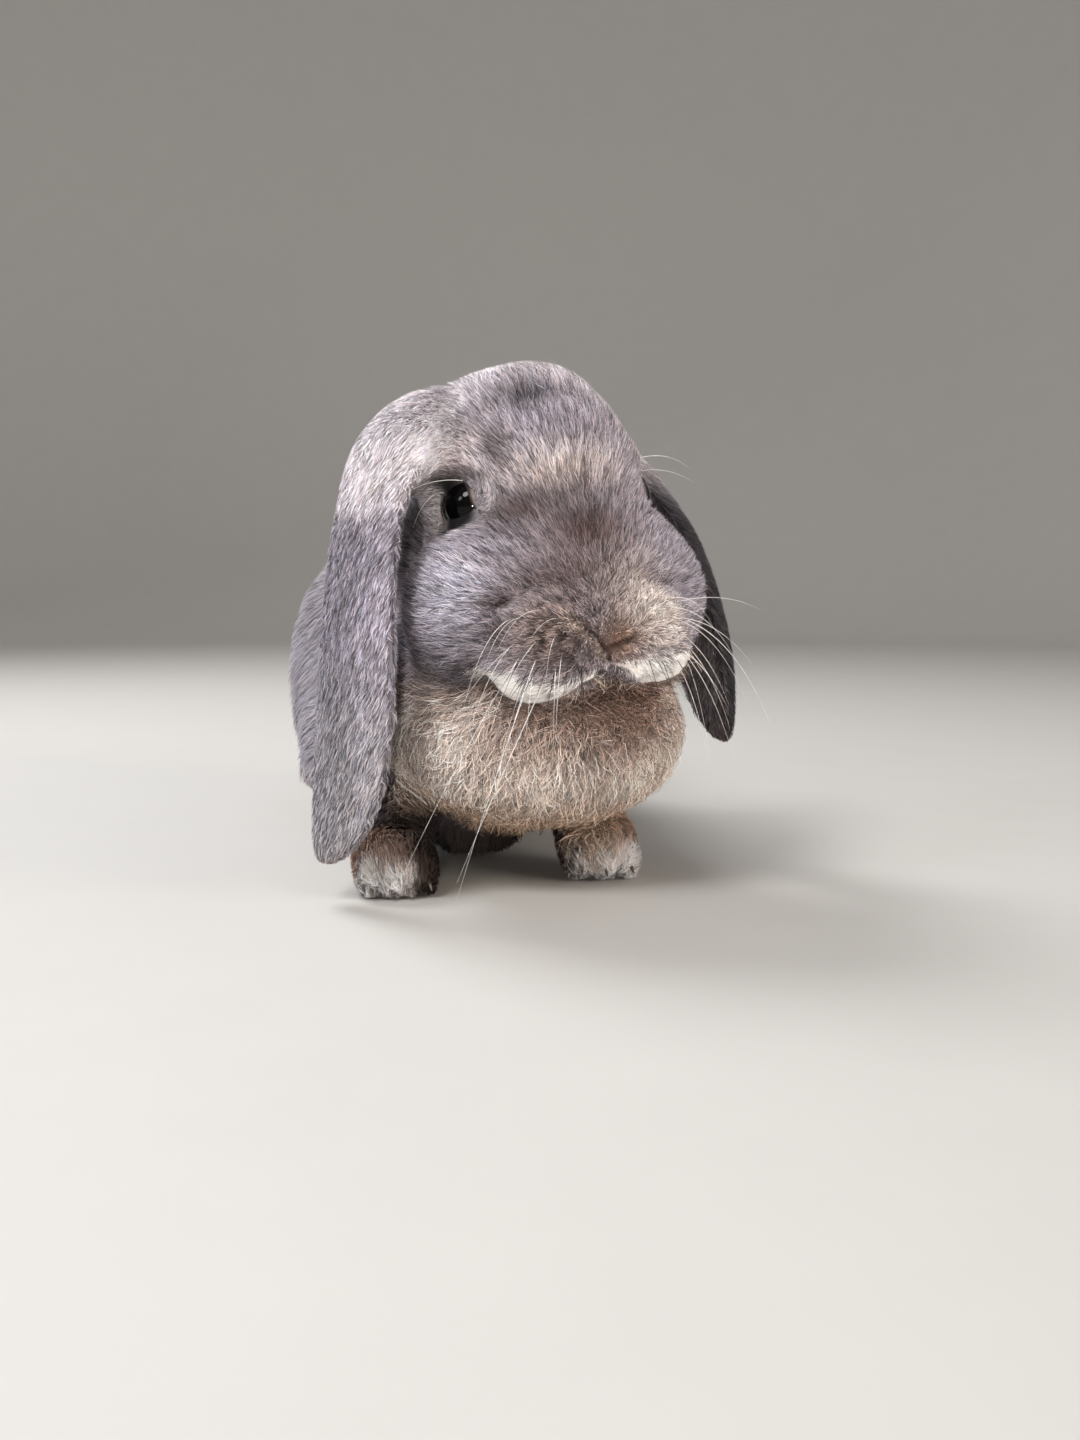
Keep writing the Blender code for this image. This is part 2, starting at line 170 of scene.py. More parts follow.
furLook = {"roughness": 0.70, "specular": 0.12, "sheen": 0.03, "sheenRoughness": 0.5}
skinLook = {
    "roughness": 0.80, "specular": 0.12,
    "grain": 900, "detail": 3, "dark": 0.55, "light": 1.05,  # the noise that mottles it
    "bump": 0.6, "bumpDepth": 0.0004,
    "from": (0.6, 0.9), "to": (0.5, 1.15),  # the coat's brightness, and the skin's share of it there
}


def newMaterial(name, roughness, specular=0.35):
    made = bpy.data.materials.new(name)
    made.use_nodes = True
    shader = made.node_tree.nodes["Principled BSDF"]
    shader.inputs["Roughness"].default_value = roughness
    shader.inputs["Specular IOR Level"].default_value = specular
    return made, made.node_tree.nodes, made.node_tree.links, shader


def furMaterial():
    # each tuft's own colour, with a faint sheen
    made, nodes, links, shader = newMaterial("furTufts", furLook["roughness"], furLook["specular"])
    colour = nodes.new("ShaderNodeAttribute")
    colour.attribute_name = "coat"
    links.new(colour.outputs["Color"], shader.inputs["Base Color"])
    shader.inputs["Sheen Weight"].default_value = furLook["sheen"]
    shader.inputs["Sheen Roughness"].default_value = furLook["sheenRoughness"]
    return made


def skinMaterial():
    # the markings, mottled and roughened by fine noise where the coat is thin
    made, nodes, links, shader = newMaterial("furSkin", skinLook["roughness"], skinLook["specular"])
    colour = nodes.new("ShaderNodeAttribute")
    colour.attribute_name = "coat"
    place = nodes.new("ShaderNodeTexCoord")
    grain = nodes.new("ShaderNodeTexNoise")
    grain.inputs["Scale"].default_value = skinLook["grain"]
    grain.inputs["Detail"].default_value = skinLook["detail"]
    links.new(place.outputs["Object"], grain.inputs["Vector"])
    shade = nodes.new("ShaderNodeMapRange")
    shade.inputs["To Min"].default_value = skinLook["dark"]
    shade.inputs["To Max"].default_value = skinLook["light"]
    links.new(grain.outputs["Fac"], shade.inputs["Value"])
    blend = nodes.new("ShaderNodeMix")
    blend.data_type = "RGBA"
    blend.blend_type = "MULTIPLY"
    blend.inputs["Factor"].default_value = 1.0
    links.new(colour.outputs["Color"], blend.inputs["A"])
    links.new(shade.outputs["Result"], blend.inputs["B"])
    links.new(blend.outputs["Result"], shader.inputs["Base Color"])
    bump = nodes.new("ShaderNodeBump")
    bump.inputs["Strength"].default_value = skinLook["bump"]
    bump.inputs["Distance"].default_value = skinLook["bumpDepth"]
    links.new(grain.outputs["Fac"], bump.inputs["Height"])
    links.new(bump.outputs["Normal"], shader.inputs["Normal"])
    return made


def plainMaterial(name, colour, roughness, specular, coat=0.0, scale=600, depth=0.00015, spread=0.22):
    # one colour that noise makes uneven by its spread, with the same noise as a faint bump
    made, nodes, links, shader = newMaterial(name, roughness, specular)
    place = nodes.new("ShaderNodeTexCoord")
    grain = nodes.new("ShaderNodeTexNoise")
    grain.inputs["Scale"].default_value = scale
    links.new(place.outputs["Object"], grain.inputs["Vector"])
    tint = nodes.new("ShaderNodeMix")
    tint.data_type = "RGBA"
    tint.inputs["A"].default_value = (*[c * (1 - spread) for c in colour], 1)
    tint.inputs["B"].default_value = (*[min(c * (1 + spread), 1) for c in colour], 1)
    links.new(grain.outputs["Fac"], tint.inputs["Factor"])
    links.new(tint.outputs["Result"], shader.inputs["Base Color"])
    bump = nodes.new("ShaderNodeBump")
    bump.inputs["Strength"].default_value = 0.3
    bump.inputs["Distance"].default_value = depth
    links.new(grain.outputs["Fac"], bump.inputs["Height"])
    links.new(bump.outputs["Normal"], shader.inputs["Normal"])
    shader.inputs["Coat Weight"].default_value = coat
    shader.inputs["Coat Roughness"].default_value = 0.03
    return made


def eyeMaterial():
    # the colour comes from the attribute that the eyeball carries; a clear wet coat lies over it
    made, nodes, links, shader = newMaterial("eyeball", eyeShape["roughness"], eyeShape["specular"])
    colour = nodes.new("ShaderNodeAttribute")
    colour.attribute_name = "iris"
    links.new(colour.outputs["Color"], shader.inputs["Base Color"])
    shader.inputs["Coat Weight"].default_value = eyeShape["wet"]
    shader.inputs["Coat Roughness"].default_value = eyeShape["wetRoughness"]
    return made


# making a piece

def newPiece(name, points, faces, material):
    # a smooth mesh from an array of points and one of faces, all with the same number of corners
    mesh = bpy.data.meshes.new(name)
    faces = np.ascontiguousarray(faces, dtype=np.int32)
    mesh.vertices.add(len(points))
    mesh.vertices.foreach_set("co", np.ascontiguousarray(points, dtype=np.float32).ravel())
    mesh.loops.add(faces.size)
    mesh.loops.foreach_set("vertex_index", faces.ravel())
    mesh.polygons.add(len(faces))
    mesh.polygons.foreach_set("loop_start", np.arange(len(faces), dtype=np.int32) * faces.shape[1])
    mesh.update(calc_edges=True)
    mesh.validate()
    mesh.polygons.foreach_set("use_smooth", np.full(len(faces), True))
    piece = bpy.data.objects.new(name, mesh)
    bpy.context.scene.collection.objects.link(piece)
    mesh.materials.append(material)
    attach(piece, "root")
    return piece


def paint(piece, name, colours):  # one colour on each point, as an attribute
    made = piece.data.color_attributes.new(name, "FLOAT_COLOR", "POINT")
    full = np.ones((len(colours), 4), np.float32)
    full[:, :3] = colours
    made.data.foreach_set("color", full.ravel())


def gridFaces(rows, columns):
    # the quads of a grid of points whose last column joins the first: each point with the next one
    # round and the two of the row above
    i, j = np.meshgrid(np.arange(rows - 1), np.arange(columns), indexing="ij")
    k = (j + 1) % columns
    quads = np.stack([i * columns + j, i * columns + k, (i + 1) * columns + k, (i + 1) * columns + j], -1)
    return quads.reshape(-1, 4)


# the skin: the solids' form, drawn in by the depth of the coat

# One line for each node. length: how long a tuft is; depth: how far the skin lies inside the coat's
# outline; width: a tuft's, at its root; density: tufts on each square millimetre; mess: degrees that
# tufts stray from the lie; curl: degrees that a tuft bends sideways on its way.
coats = {
    "head": dict(length=0.0070, depth=0.0040, width=0.00026, density=6.4, mess=14, curl=14),
    "neck": dict(length=0.0145, depth=0.0075, width=0.00046, density=2.4, mess=11, curl=12),
    "ruff": dict(length=0.0175, depth=0.0105, width=0.00027, density=6.4, mess=66, curl=76),
    "trunk": dict(length=0.0150, depth=0.0075, width=0.00050, density=1.75, mess=10, curl=12),
    "tail": dict(length=0.0190, depth=0.0092, width=0.00044, density=4.4, mess=24, curl=32),
    "ear": dict(length=0.0044, depth=0.0018, width=0.00027, density=4.6, mess=10, curl=9),
    "foreleg": dict(length=0.0110, depth=0.0055, width=0.00046, density=2.7, mess=24, curl=24),
    "forepaw": dict(length=0.0075, depth=0.0034, width=0.00029, density=5.6, mess=24, curl=28),
    "hind_leg": dict(length=0.0150, depth=0.0072, width=0.00048, density=1.75, mess=10, curl=12),
    "hind_foot": dict(length=0.0065, depth=0.0026, width=0.00050, density=2.4, mess=13, curl=10),
}
skinSizes = {
    "voxel": 0.0020, "bridge": 0.0004,  # bridge: how far a node swells to meet its neighbours
    "soften": 7, "blend": 14,  # rounds of smoothing, of the form and of the borders between coats
    "fine": [((0, -0.85, -0.85), 0.95), ((-0.05, -1.05, -0.88), 0.62)],  # finer faces: where, how far
    "fineEye": 0.016, "floor": 0.0006,  # how far round an eye; the lowest that the skin comes
}

# soft pads fill the corners between the skull and the roots of the ears, in head units
pads = {
    "right": dict(middle=(-0.76, 0.02, 0.36), radii=(0.36, 0.36, 0.27)),
    "left": dict(middle=(0.66, 0.20, 0.22), radii=(0.26, 0.30, 0.22)),
}


def padMesh(middle, radii):
    # a unit ball, scaled by the radii, turned with the head and moved to its middle
    shape = bmesh.new()
    place = Matrix.Translation(Vector(fromHead(middle)))
    turn = Matrix(headTurn.T.tolist()).to_4x4()
    size = Matrix.Diagonal(Vector([r * headUnit for r in radii] + [1]))
    bmesh.ops.create_icosphere(shape, subdivisions=4, radius=1.0, matrix=place @ turn @ size)
    return shape


def nodeMesh(node):  # a node's mesh with its double points merged, in triangles
    shape = bmesh.new()
    shape.from_mesh(node.data)
    bmesh.ops.remove_doubles(shape, verts=shape.verts, dist=1e-5)
    bmesh.ops.triangulate(shape, faces=shape.faces)
    return shape


def soupArrays(shape, swell):
    # the points, each moved out along its normal by the swell, and the triangles
    mesh = bpy.data.meshes.new("part")
    shape.to_mesh(mesh)
    shape.free()
    points, normals, edges = meshArrays(mesh)
    faces = np.empty(len(mesh.polygons) * 3, np.int32)
    mesh.polygons.foreach_get("vertices", faces)
    bpy.data.meshes.remove(mesh)
    return points + normals * swell, faces.reshape(-1, 3)


def fleshSoup():
    # the nodes and the pads as one mesh; each node is swollen a little, to overlap its neighbours
    names = sorted(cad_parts)
    parts = [soupArrays(nodeMesh(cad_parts[name]), skinSizes["bridge"]) for name in names]
    parts += [soupArrays(padMesh(**pad), 0.0) for pad in pads.values()]
    starts = np.cumsum([0] + [len(points) for points, faces in parts])
    faces = np.concatenate([part[1] + start for part, start in zip(parts, starts)])
    owners = np.repeat(np.arange(len(parts)), [len(part[1]) for part in parts])
    return np.concatenate([part[0] for part in parts]), faces, owners, names


def meshArrays(mesh):  # its points, their normals and its edges
    points = np.empty(len(mesh.vertices) * 3, np.float32)
    mesh.vertices.foreach_get("co", points)
    normals = np.empty(len(mesh.vertices) * 3, np.float32)
    mesh.vertices.foreach_get("normal", normals)
    edges = np.empty(len(mesh.edges) * 2, np.int32)
    mesh.edges.foreach_get("vertices", edges)
    return points.reshape(-1, 3).astype(float), normals.reshape(-1, 3).astype(float), edges.reshape(-1, 2)


def averaged(values, edges, rounds, keep=0.0):
    # each point takes the mean of its neighbours' values, and keeps a share of its own, in rounds
    a, b = edges.T
    count = np.bincount(edges.ravel(), minlength=len(values)).astype(float)
    flat = values.reshape(len(values), -1)
    for _ in range(rounds):
        total = np.stack([
            np.bincount(a, flat[b, c], len(values)) + np.bincount(b, flat[a, c], len(values))
            for c in range(flat.shape[1])
        ], axis=1)
        flat = keep * flat + (1 - keep) * total / np.maximum(count, 1)[:, None]
    return flat.reshape(values.shape)


def applied(piece):  # the mesh that the modifiers give takes the place of the old one
    graph = bpy.context.evaluated_depsgraph_get()
    bpy.context.view_layer.update()
    mesh = bpy.data.meshes.new_from_object(piece.evaluated_get(graph), depsgraph=graph)
    piece.modifiers.clear()
    old = piece.data
    piece.data = mesh
    bpy.data.meshes.remove(old)


def refine(mesh, middle, radius):
    # the edges whose middles lie within the radius are halved, so that folds can be pressed in there
    shape = bmesh.new()
    shape.from_mesh(mesh)
    middle = Vector(middle)
    edges = [e for e in shape.edges if ((e.verts[0].co + e.verts[1].co) / 2 - middle).length < radius]
    bmesh.ops.subdivide_edges(shape, edges=edges, cuts=1, use_grid_fill=True, smooth=0.0)
    bmesh.ops.triangulate(shape, faces=[f for f in shape.faces if len(f.verts) > 4])
    shape.to_mesh(mesh)
    shape.free()


def bareSkin():
    # the flesh remeshed from small cubes and softened; beside it, samples of every node's surface
    # and the node of each, for finding which node a point of the skin belongs to
    soup, faces, owners, names = fleshSoup()
    mesh = bpy.data.meshes.new("skin")
    mesh.from_pydata(soup.tolist(), [], faces.tolist())
    piece = bpy.data.objects.new("skin", mesh)
    bpy.context.scene.collection.objects.link(piece)
    remesh = piece.modifiers.new("remesh", "REMESH")
    remesh.mode = "VOXEL"
    remesh.voxel_size = skinSizes["voxel"]
    soften = piece.modifiers.new("soften", "SMOOTH")
    soften.factor = 0.5
    soften.iterations = skinSizes["soften"]
    applied(piece)
    for middle, reach in skinSizes["fine"]:
        refine(piece.data, fromHead(middle), reach * headUnit)
    for middle in eyeMiddles.values():
        refine(piece.data, middle, skinSizes["fineEye"])
    known = owners < len(names)
    a, b, c = (soup[faces[known, k]] for k in range(3))
    samples = np.concatenate([a, b, c, (a + b) / 2, (b + c) / 2, (c + a) / 2, (a + b + c) / 3])
    owner = np.tile(owners[known], 7)
    return piece, samples, np.array(names)[owner]


def regionValues(points, samples, owners, edges):
    # each point takes the coat of the nearest node, and the borders are then blended
    found = nearest(nearestGrid(samples, cell=0.0013, reach=0.004), points)
    nodes = owners[found]
    nodes = np.where(np.char.startswith(nodes, "eye"), "head", nodes)
    nodes = np.where((nodes == "head") & underChin(toHead(points)), "ruff", nodes)
    kinds = np.empty(len(nodes), "U12")
    for kind in coats:
        kinds[np.char.startswith(nodes, kind)] = kind
    fields = {}
    for key in coats["head"]:
        raw = np.zeros(len(points))
        for kind, coat in coats.items():
            raw[kinds == kind] = coat[key]
        fields[key] = averaged(raw, edges, skinSizes["blend"])
    return nodes, kinds, fields


def eyeNearness(points):  # 1 at the eyes, falling to 0 between two distances from their middles
    near = np.zeros(len(points))
    for middle in eyeMiddles.values():
        near = np.maximum(near, 1 - ramp(lengthOf(points - middle)[:, 0], *eyeShape["near"]))
    return near


# areas where the coat changes: each a bell, its middle and radii in head units
coatAreas = {
    "muzzle": ((-0.05, -1.00, -0.75), (0.66, 0.50, 0.40)),
    "nostril": (nose["fork"], (0.20, 0.30, 0.20)),
    "fork": (nose["fork"], (0.30, 0.30, 0.24)),
    "bridge": ((0, -0.85, -0.30), (0.45, 0.40, 0.42)),
    "crown": ((0.0, -0.10, 0.85), (0.42, 0.42, 0.20)),
    "jowlRight": ((-0.9, -0.1, -0.8), (0.45, 0.5, 0.4)),
    "jowlLeft": ((0.9, -0.1, -0.8), (0.45, 0.5, 0.4)),
}
# what each area adds to a value of the coat, as a share of it: shortest on the nose and round the
# eyes, longest on the crown and jowls
coatChanges = {
    "depth": {"muzzle": -0.45, "nostril": -0.40, "eye": -0.70, "bridge": -0.35, "lip": -0.50},
    "length": {"muzzle": -0.48, "nostril": -0.40, "eye": -0.66, "crownFront": 1.20, "jowlRight": 0.30,
               "jowlLeft": 0.30, "bridge": -0.15, "behind": 0.25, "pawFoot": -0.45, "fork": -0.35},
    "width": {"muzzle": -0.22, "nostril": -0.20, "eye": -0.25, "behind": 0.45},
    "density": {"muzzle": 0.80, "eye": 0.90, "lip": 0.60, "behind": -0.25, "slit": -0.92},
    "mess": {"looseMuzzle": 2.60, "crown": 1.00, "behind": -0.45},
}
slitNames = ("nostrilRight", "nostrilLeft", "philtrum", "mouth")
areaEdges = {  # between these an area fades: back in head units, up in metres, and in a slit's bell
    "crownFront": (-0.05, 0.25), "behind": (0.05, 0.40), "pawFoot": (0.008, 0.015), "slit": (0.2, 0.7),
    "lipLess": 0.8,
}


def faceThinning(points, fields, kinds):
    # every value is multiplied by 1 + share * area, for each area that changes it
    h = toHead(points)
    onHead = kinds == "head"
    areas = {name: spot(h, *bell) * onHead for name, bell in coatAreas.items()}
    areas["lip"] = lipShare(h) * onHead
    areas["eye"] = eyeNearness(points)
    areas["looseMuzzle"] = areas["muzzle"] * (1 - areaEdges["lipLess"] * areas["lip"])
    areas["crownFront"] = areas["crown"] * (1 - ramp(h[:, 1], *areaEdges["crownFront"]))
    areas["behind"] = ramp(h[:, 1], *areaEdges["behind"]) * onHead
    lowDown = 1 - ramp(points[:, 2], *areaEdges["pawFoot"])
    areas["pawFoot"] = np.isin(kinds, ["forepaw", "hind_foot"]) * lowDown
    slit = np.max([bell for fold, bell in foldBells(h, slitNames)], axis=0)
    areas["slit"] = ramp(slit, *areaEdges["slit"]) * onHead
    for value, changes in coatChanges.items():
        for area, share in changes.items():
            fields[value] *= 1 + share * areas[area]


# the folds of the face, as lines in head units, each with its depth, half width and darkness
# their darkness is painted shade in the creases by the pads and under the lips, and dark skin in the nostrils
# and mouth
folds = {
    "nostrilRight": dict(line=[(-0.28, -1.03, -0.65), (-0.19, -1.06, -0.74), (-0.10, -1.06, -0.83)],
                         depth=0.0022, half=0.0011, dark=0.95),
    "nostrilLeft": dict(line=[(0.07, -1.05, -0.785), (-0.02, -1.06, -0.81), (-0.10, -1.06, -0.83)],
                        depth=0.0018, half=0.0010, dark=0.80),
    "philtrum": dict(line=[(-0.10, -1.06, -0.83), (-0.08, -1.05, -0.89), (-0.04, -1.03, -0.95)],
                     depth=0.0020, half=0.0010, dark=0.9),
    "mouth": dict(line=[(-0.14, -1.03, -0.965), (-0.04, -1.02, -0.945), (0.06, -1.02, -0.96)],
                  depth=0.0024, half=0.0012, dark=0.9),
    "padTop": dict(line=[(-0.67, -0.75, -0.56), (-0.60, -0.79, -0.51)],
                   depth=0.0044, half=0.0024, dark=0.95),
    "padRise": dict(line=[(-0.60, -0.79, -0.51), (-0.46, -0.84, -0.46)],
                    depth=0.0016, half=0.0026, dark=0.30),
    "padBack": dict(line=[(-0.67, -0.75, -0.56), (-0.67, -0.76, -0.66), (-0.67, -0.76, -0.78)],
                    depth=0.0020, half=0.0022, dark=0.30),
    "padCrease": dict(line=[(-0.67, -0.76, -0.72), (-0.61, -0.79, -0.70)],
                      depth=0.0024, half=0.0016, dark=0.75),
    "farPadTop": dict(line=[(0.56, -0.80, -0.52), (0.44, -0.88, -0.48), (0.24, -0.92, -0.42)],
                      depth=0.0020, half=0.0024, dark=0.35),
    "underLip": dict(line=[(-0.76, -0.60, -0.92), (-0.67, -0.60, -1.05), (-0.57, -0.57, -1.16),
                           (-0.44, -0.64, -1.22), (-0.38, -0.90, -1.13), (-0.24, -1.00, -1.06),
                           (-0.06, -1.00, -1.03), (0.10, -0.96, -1.10), (0.28, -0.96, -1.12),
                           (0.42, -0.96, -1.06), (0.52, -0.92, -0.96)],
                     depth=0.0038, half=0.0020, dark=0.50),
}

# rounded forms that the skin adds: each a bell, its height in metres (negative for a hollow)
swellings = {
    "padRight": dict(middle=(-0.44, -0.98, -0.72), radii=(0.22, 0.30, 0.21), height=0.0038),
    "padLeft": dict(middle=(0.26, -1.02, -0.74), radii=(0.20, 0.30, 0.20), height=0.0026),
    "noseTip": dict(middle=(-0.09, -1.07, -0.68), radii=(0.12, 0.20, 0.11), height=0.0012),
    "lipRight": dict(middle=(-0.48, -0.82, -1.04), radii=(0.20, 0.30, 0.08), height=0.0020),
    "lipLeft": dict(middle=(0.28, -0.99, -0.98), radii=(0.18, 0.30, 0.08), height=0.0016),
    "browRight": dict(middle=(-0.56, -0.36, 0.28), radii=(0.22, 0.30, 0.09), height=0.0018),
    "browLeft": dict(middle=(0.56, -0.36, 0.28), radii=(0.22, 0.30, 0.09), height=0.0018),
    "crownRidge": dict(middle=(0.0, -0.16, 0.86), radii=(0.42, 0.16, 0.14), height=0.0020),
    "crownDip": dict(middle=(-0.16, -0.42, 0.70), radii=(0.26, 0.12, 0.10), height=-0.0020),
    "hollowRight": dict(middle=(-0.80, 0.00, -0.06), radii=(0.10, 0.18, 0.16), height=-0.0025),
    "hollowLeft": dict(middle=(0.80, 0.00, -0.06), radii=(0.10, 0.18, 0.16), height=-0.0025),
    "cheekRight": dict(middle=(-0.80, -0.52, -0.55), radii=(0.30, 0.35, 0.26), height=0.0014),
    "cheekLeft": dict(middle=(0.80, -0.52, -0.55), radii=(0.30, 0.35, 0.26), height=0.0014),
}

# the white lips: where they begin and end below the pads, as heights over the way across
lipTop = [(-0.78, -0.89), (-0.71, -0.905), (-0.64, -0.940), (-0.54, -0.968), (-0.39, -0.985), (-0.27, -0.968),
          (-0.10, -0.928), (-0.04, -0.94), (0.03, -0.915), (0.20, -0.905), (0.40, -0.872), (0.50, -0.87)]
lipFoot = [(-0.78, -0.90), (-0.73, -0.985), (-0.66, -1.035), (-0.565, -1.110), (-0.455, -1.176),
           (-0.42, -1.130), (-0.36, -1.070), (-0.255, -1.012), (-0.10, -0.957), (-0.04, -0.957),
           (0.05, -0.99), (0.118, -1.050), (0.263, -1.068), (0.375, -1.020), (0.44, -0.95), (0.50, -0.88)]
lipEnds = {"front": (0.48, 0.56), "right": (-0.78, -0.70), "left": (0.44, 0.52)}  # they fade over these


def lipShare(h, blur=0.016):
    # 1 between the two lines, on the front of the face; 0 outside them, over twice the blur
    top = np.interp(h[:, 0], *np.array(lipTop).T)
    foot = np.interp(h[:, 0], *np.array(lipFoot).T)
    inside = ramp(top - h[:, 2], -blur, blur) * ramp(h[:, 2] - foot, -blur, blur)
    front, right = ramp(-h[:, 1], *lipEnds["front"]), ramp(h[:, 0], *lipEnds["right"])
    return inside * front * right * (1 - ramp(h[:, 0], *lipEnds["left"]))


def underChin(h):  # what hangs below the lips and jaws, where the ruff's long hair begins
    foot = np.interp(h[:, 0], *np.array(lipFoot).T) - 0.035
    jaw = np.where((h[:, 0] > -0.72) & (h[:, 0] < 0.47), foot, -1.06)
    return (h[:, 2] < jaw) & (h[:, 1] < 0.3)


def lineDistance(p, line):  # the distance of each point from the nearest stretch of a bent line
    best = np.full(len(p), 9.0)
    for a, b in zip(line, line[1:]):
        a, b = np.array(a), np.array(b)
        along = np.clip((p - a) @ (b - a) / np.sum((b - a) ** 2), 0, 1)
        best = np.minimum(best, np.linalg.norm(p - a - along[:, None] * (b - a), axis=1))
    return best


def foldBells(h, names=None):  # for each fold: 1 on its line, falling as a bell of its half width
    squash = np.array([1, 0.45, 1])  # the lines lie near the surface: depth counts for less
    for fold in [folds[name] for name in names or folds]:
        away = lineDistance(h * squash, [tuple(np.array(spotOn) * squash) for spotOn in fold["line"]])
        yield fold, np.exp(-(away * headUnit / fold["half"]) ** 2)


def foldDepth(h):  # the deepest of the folds at each point
    return np.max([bell * fold["depth"] for fold, bell in foldBells(h)], axis=0)


def foldShade(h):  # the darkest of them
    return np.max([bell * fold["dark"] for fold, bell in foldBells(h)], axis=0)


# forms of the body that the skin adds, in metres; the sag's middle is from between the forepaws
bellySag = dict(middle=(0.0, 0.045, 0.014), radii=(0.040, 0.042, 0.020), height=0.0125)
pawForm = {
    "swell": 0.0012, "toe": 0.0014, "groove": 0.0030,
    "back": (0.008, 0.017), "top": (0.009, 0.016),  # the toes fade over these, behind their front and up
    "near": (0.02, 0.08), "far": (0.92, 0.98),  # and over these at the sides, as shares of the width
}
# whole up to start behind the toes' front, none from reach on; drop: the share of the height it takes
footSlope = {"start": 0.003, "reach": 0.026, "drop": 0.44}
pawNames = ("forepaw_left", "forepaw_right", "hind_foot_left", "hind_foot_right")


def footSink(points, nodes, edges):  # 1 at the toes of a hind foot, 0 where its slope begins
    sink = np.zeros(len(points))
    for name in ("hind_foot_left", "hind_foot_right"):
        front = boxOf(name)[0][1]
        ahead = 1 - ramp(points[:, 1], front + footSlope["start"], front + footSlope["reach"])
        sink += (nodes == name) * ahead
    return averaged(sink, edges, 5)


def toePattern(points, nodes):
    # the toes on the low front of each paw: 1 along a toe's back, -1 in a groove between two, 0
    # elsewhere, from 1 - 2 |cos(pi * place across * toes)|^3
    pattern = np.zeros(len(points))
    for name in pawNames:
        low, high = boxOf(name)
        across = (points[:, 0] - low[0]) / (high[0] - low[0])
        wave = 1 - 2 * np.abs(np.cos(np.pi * across * claws["toes"])) ** 3
        front = 1 - ramp(points[:, 1], low[1] + pawForm["back"][0], low[1] + pawForm["back"][1])
        front = front * (1 - ramp(points[:, 2], *pawForm["top"]))
        edges = ramp(across, *pawForm["near"]) * (1 - ramp(across, *pawForm["far"]))
        pattern = np.where(nodes == name, wave * front * edges, pattern)
    return pattern


def sculpted(points, normals, nodes, kinds, edges):
    # bells push the skin out or in, folds and toe grooves are pressed in along the smoothed normals,
    # and each height on a hind foot is multiplied by 1 - drop * sink
    h = toHead(points)
    way = unit(averaged(normals, edges, 4, keep=0.3))
    push = np.zeros(len(points))
    for form in swellings.values():
        push += spot(h, form["middle"], form["radii"]) * form["height"]
    push -= foldDepth(h)
    push *= np.isin(kinds, ["head", "ruff"])
    sag = spot(points - pawsMiddle, bellySag["middle"], bellySag["radii"]) * (kinds == "trunk")
    push += sag * bellySag["height"]
    push += pawForm["swell"] * (kinds == "forepaw")
    toes = toePattern(points, nodes)
    push += pawForm["toe"] * np.maximum(toes, 0) - pawForm["groove"] * np.maximum(-toes, 0)
    push = averaged(push, edges, 1, keep=0.5)
    sunk = points.copy()
    sunk[:, 2] *= 1 - footSlope["drop"] * footSink(points, nodes, edges)
    return sunk + way * push[:, None]


sharpFace = {"ahead": (0.55, 0.75), "half": 1.05, "fade": 0.3}  # in head units


def drawIn(points, normals, edges, fields):
    # the skin is pulled inwards by the coat's depth along smoothed normals, then relaxed, but not
    # at the eyes and on the front of the face
    way = unit(averaged(normals, edges, 3, keep=0.3))
    inner = points - way * fields["depth"][:, None]
    relaxed = averaged(inner, edges, 3, keep=0.4)
    h = toHead(points)
    aside = ramp(sharpFace["half"] - np.abs(h[:, 0]), 0.0, sharpFace["fade"])
    front = ramp(-h[:, 1], *sharpFace["ahead"]) * aside
    sharp = np.maximum(eyeNearness(points), front)[:, None]
    inner = inner * sharp + relaxed * (1 - sharp)
    inner[:, 2] = np.maximum(inner[:, 2], skinSizes["floor"])
    return inner


# the markings, shared by the skin and the coat (linear colours)

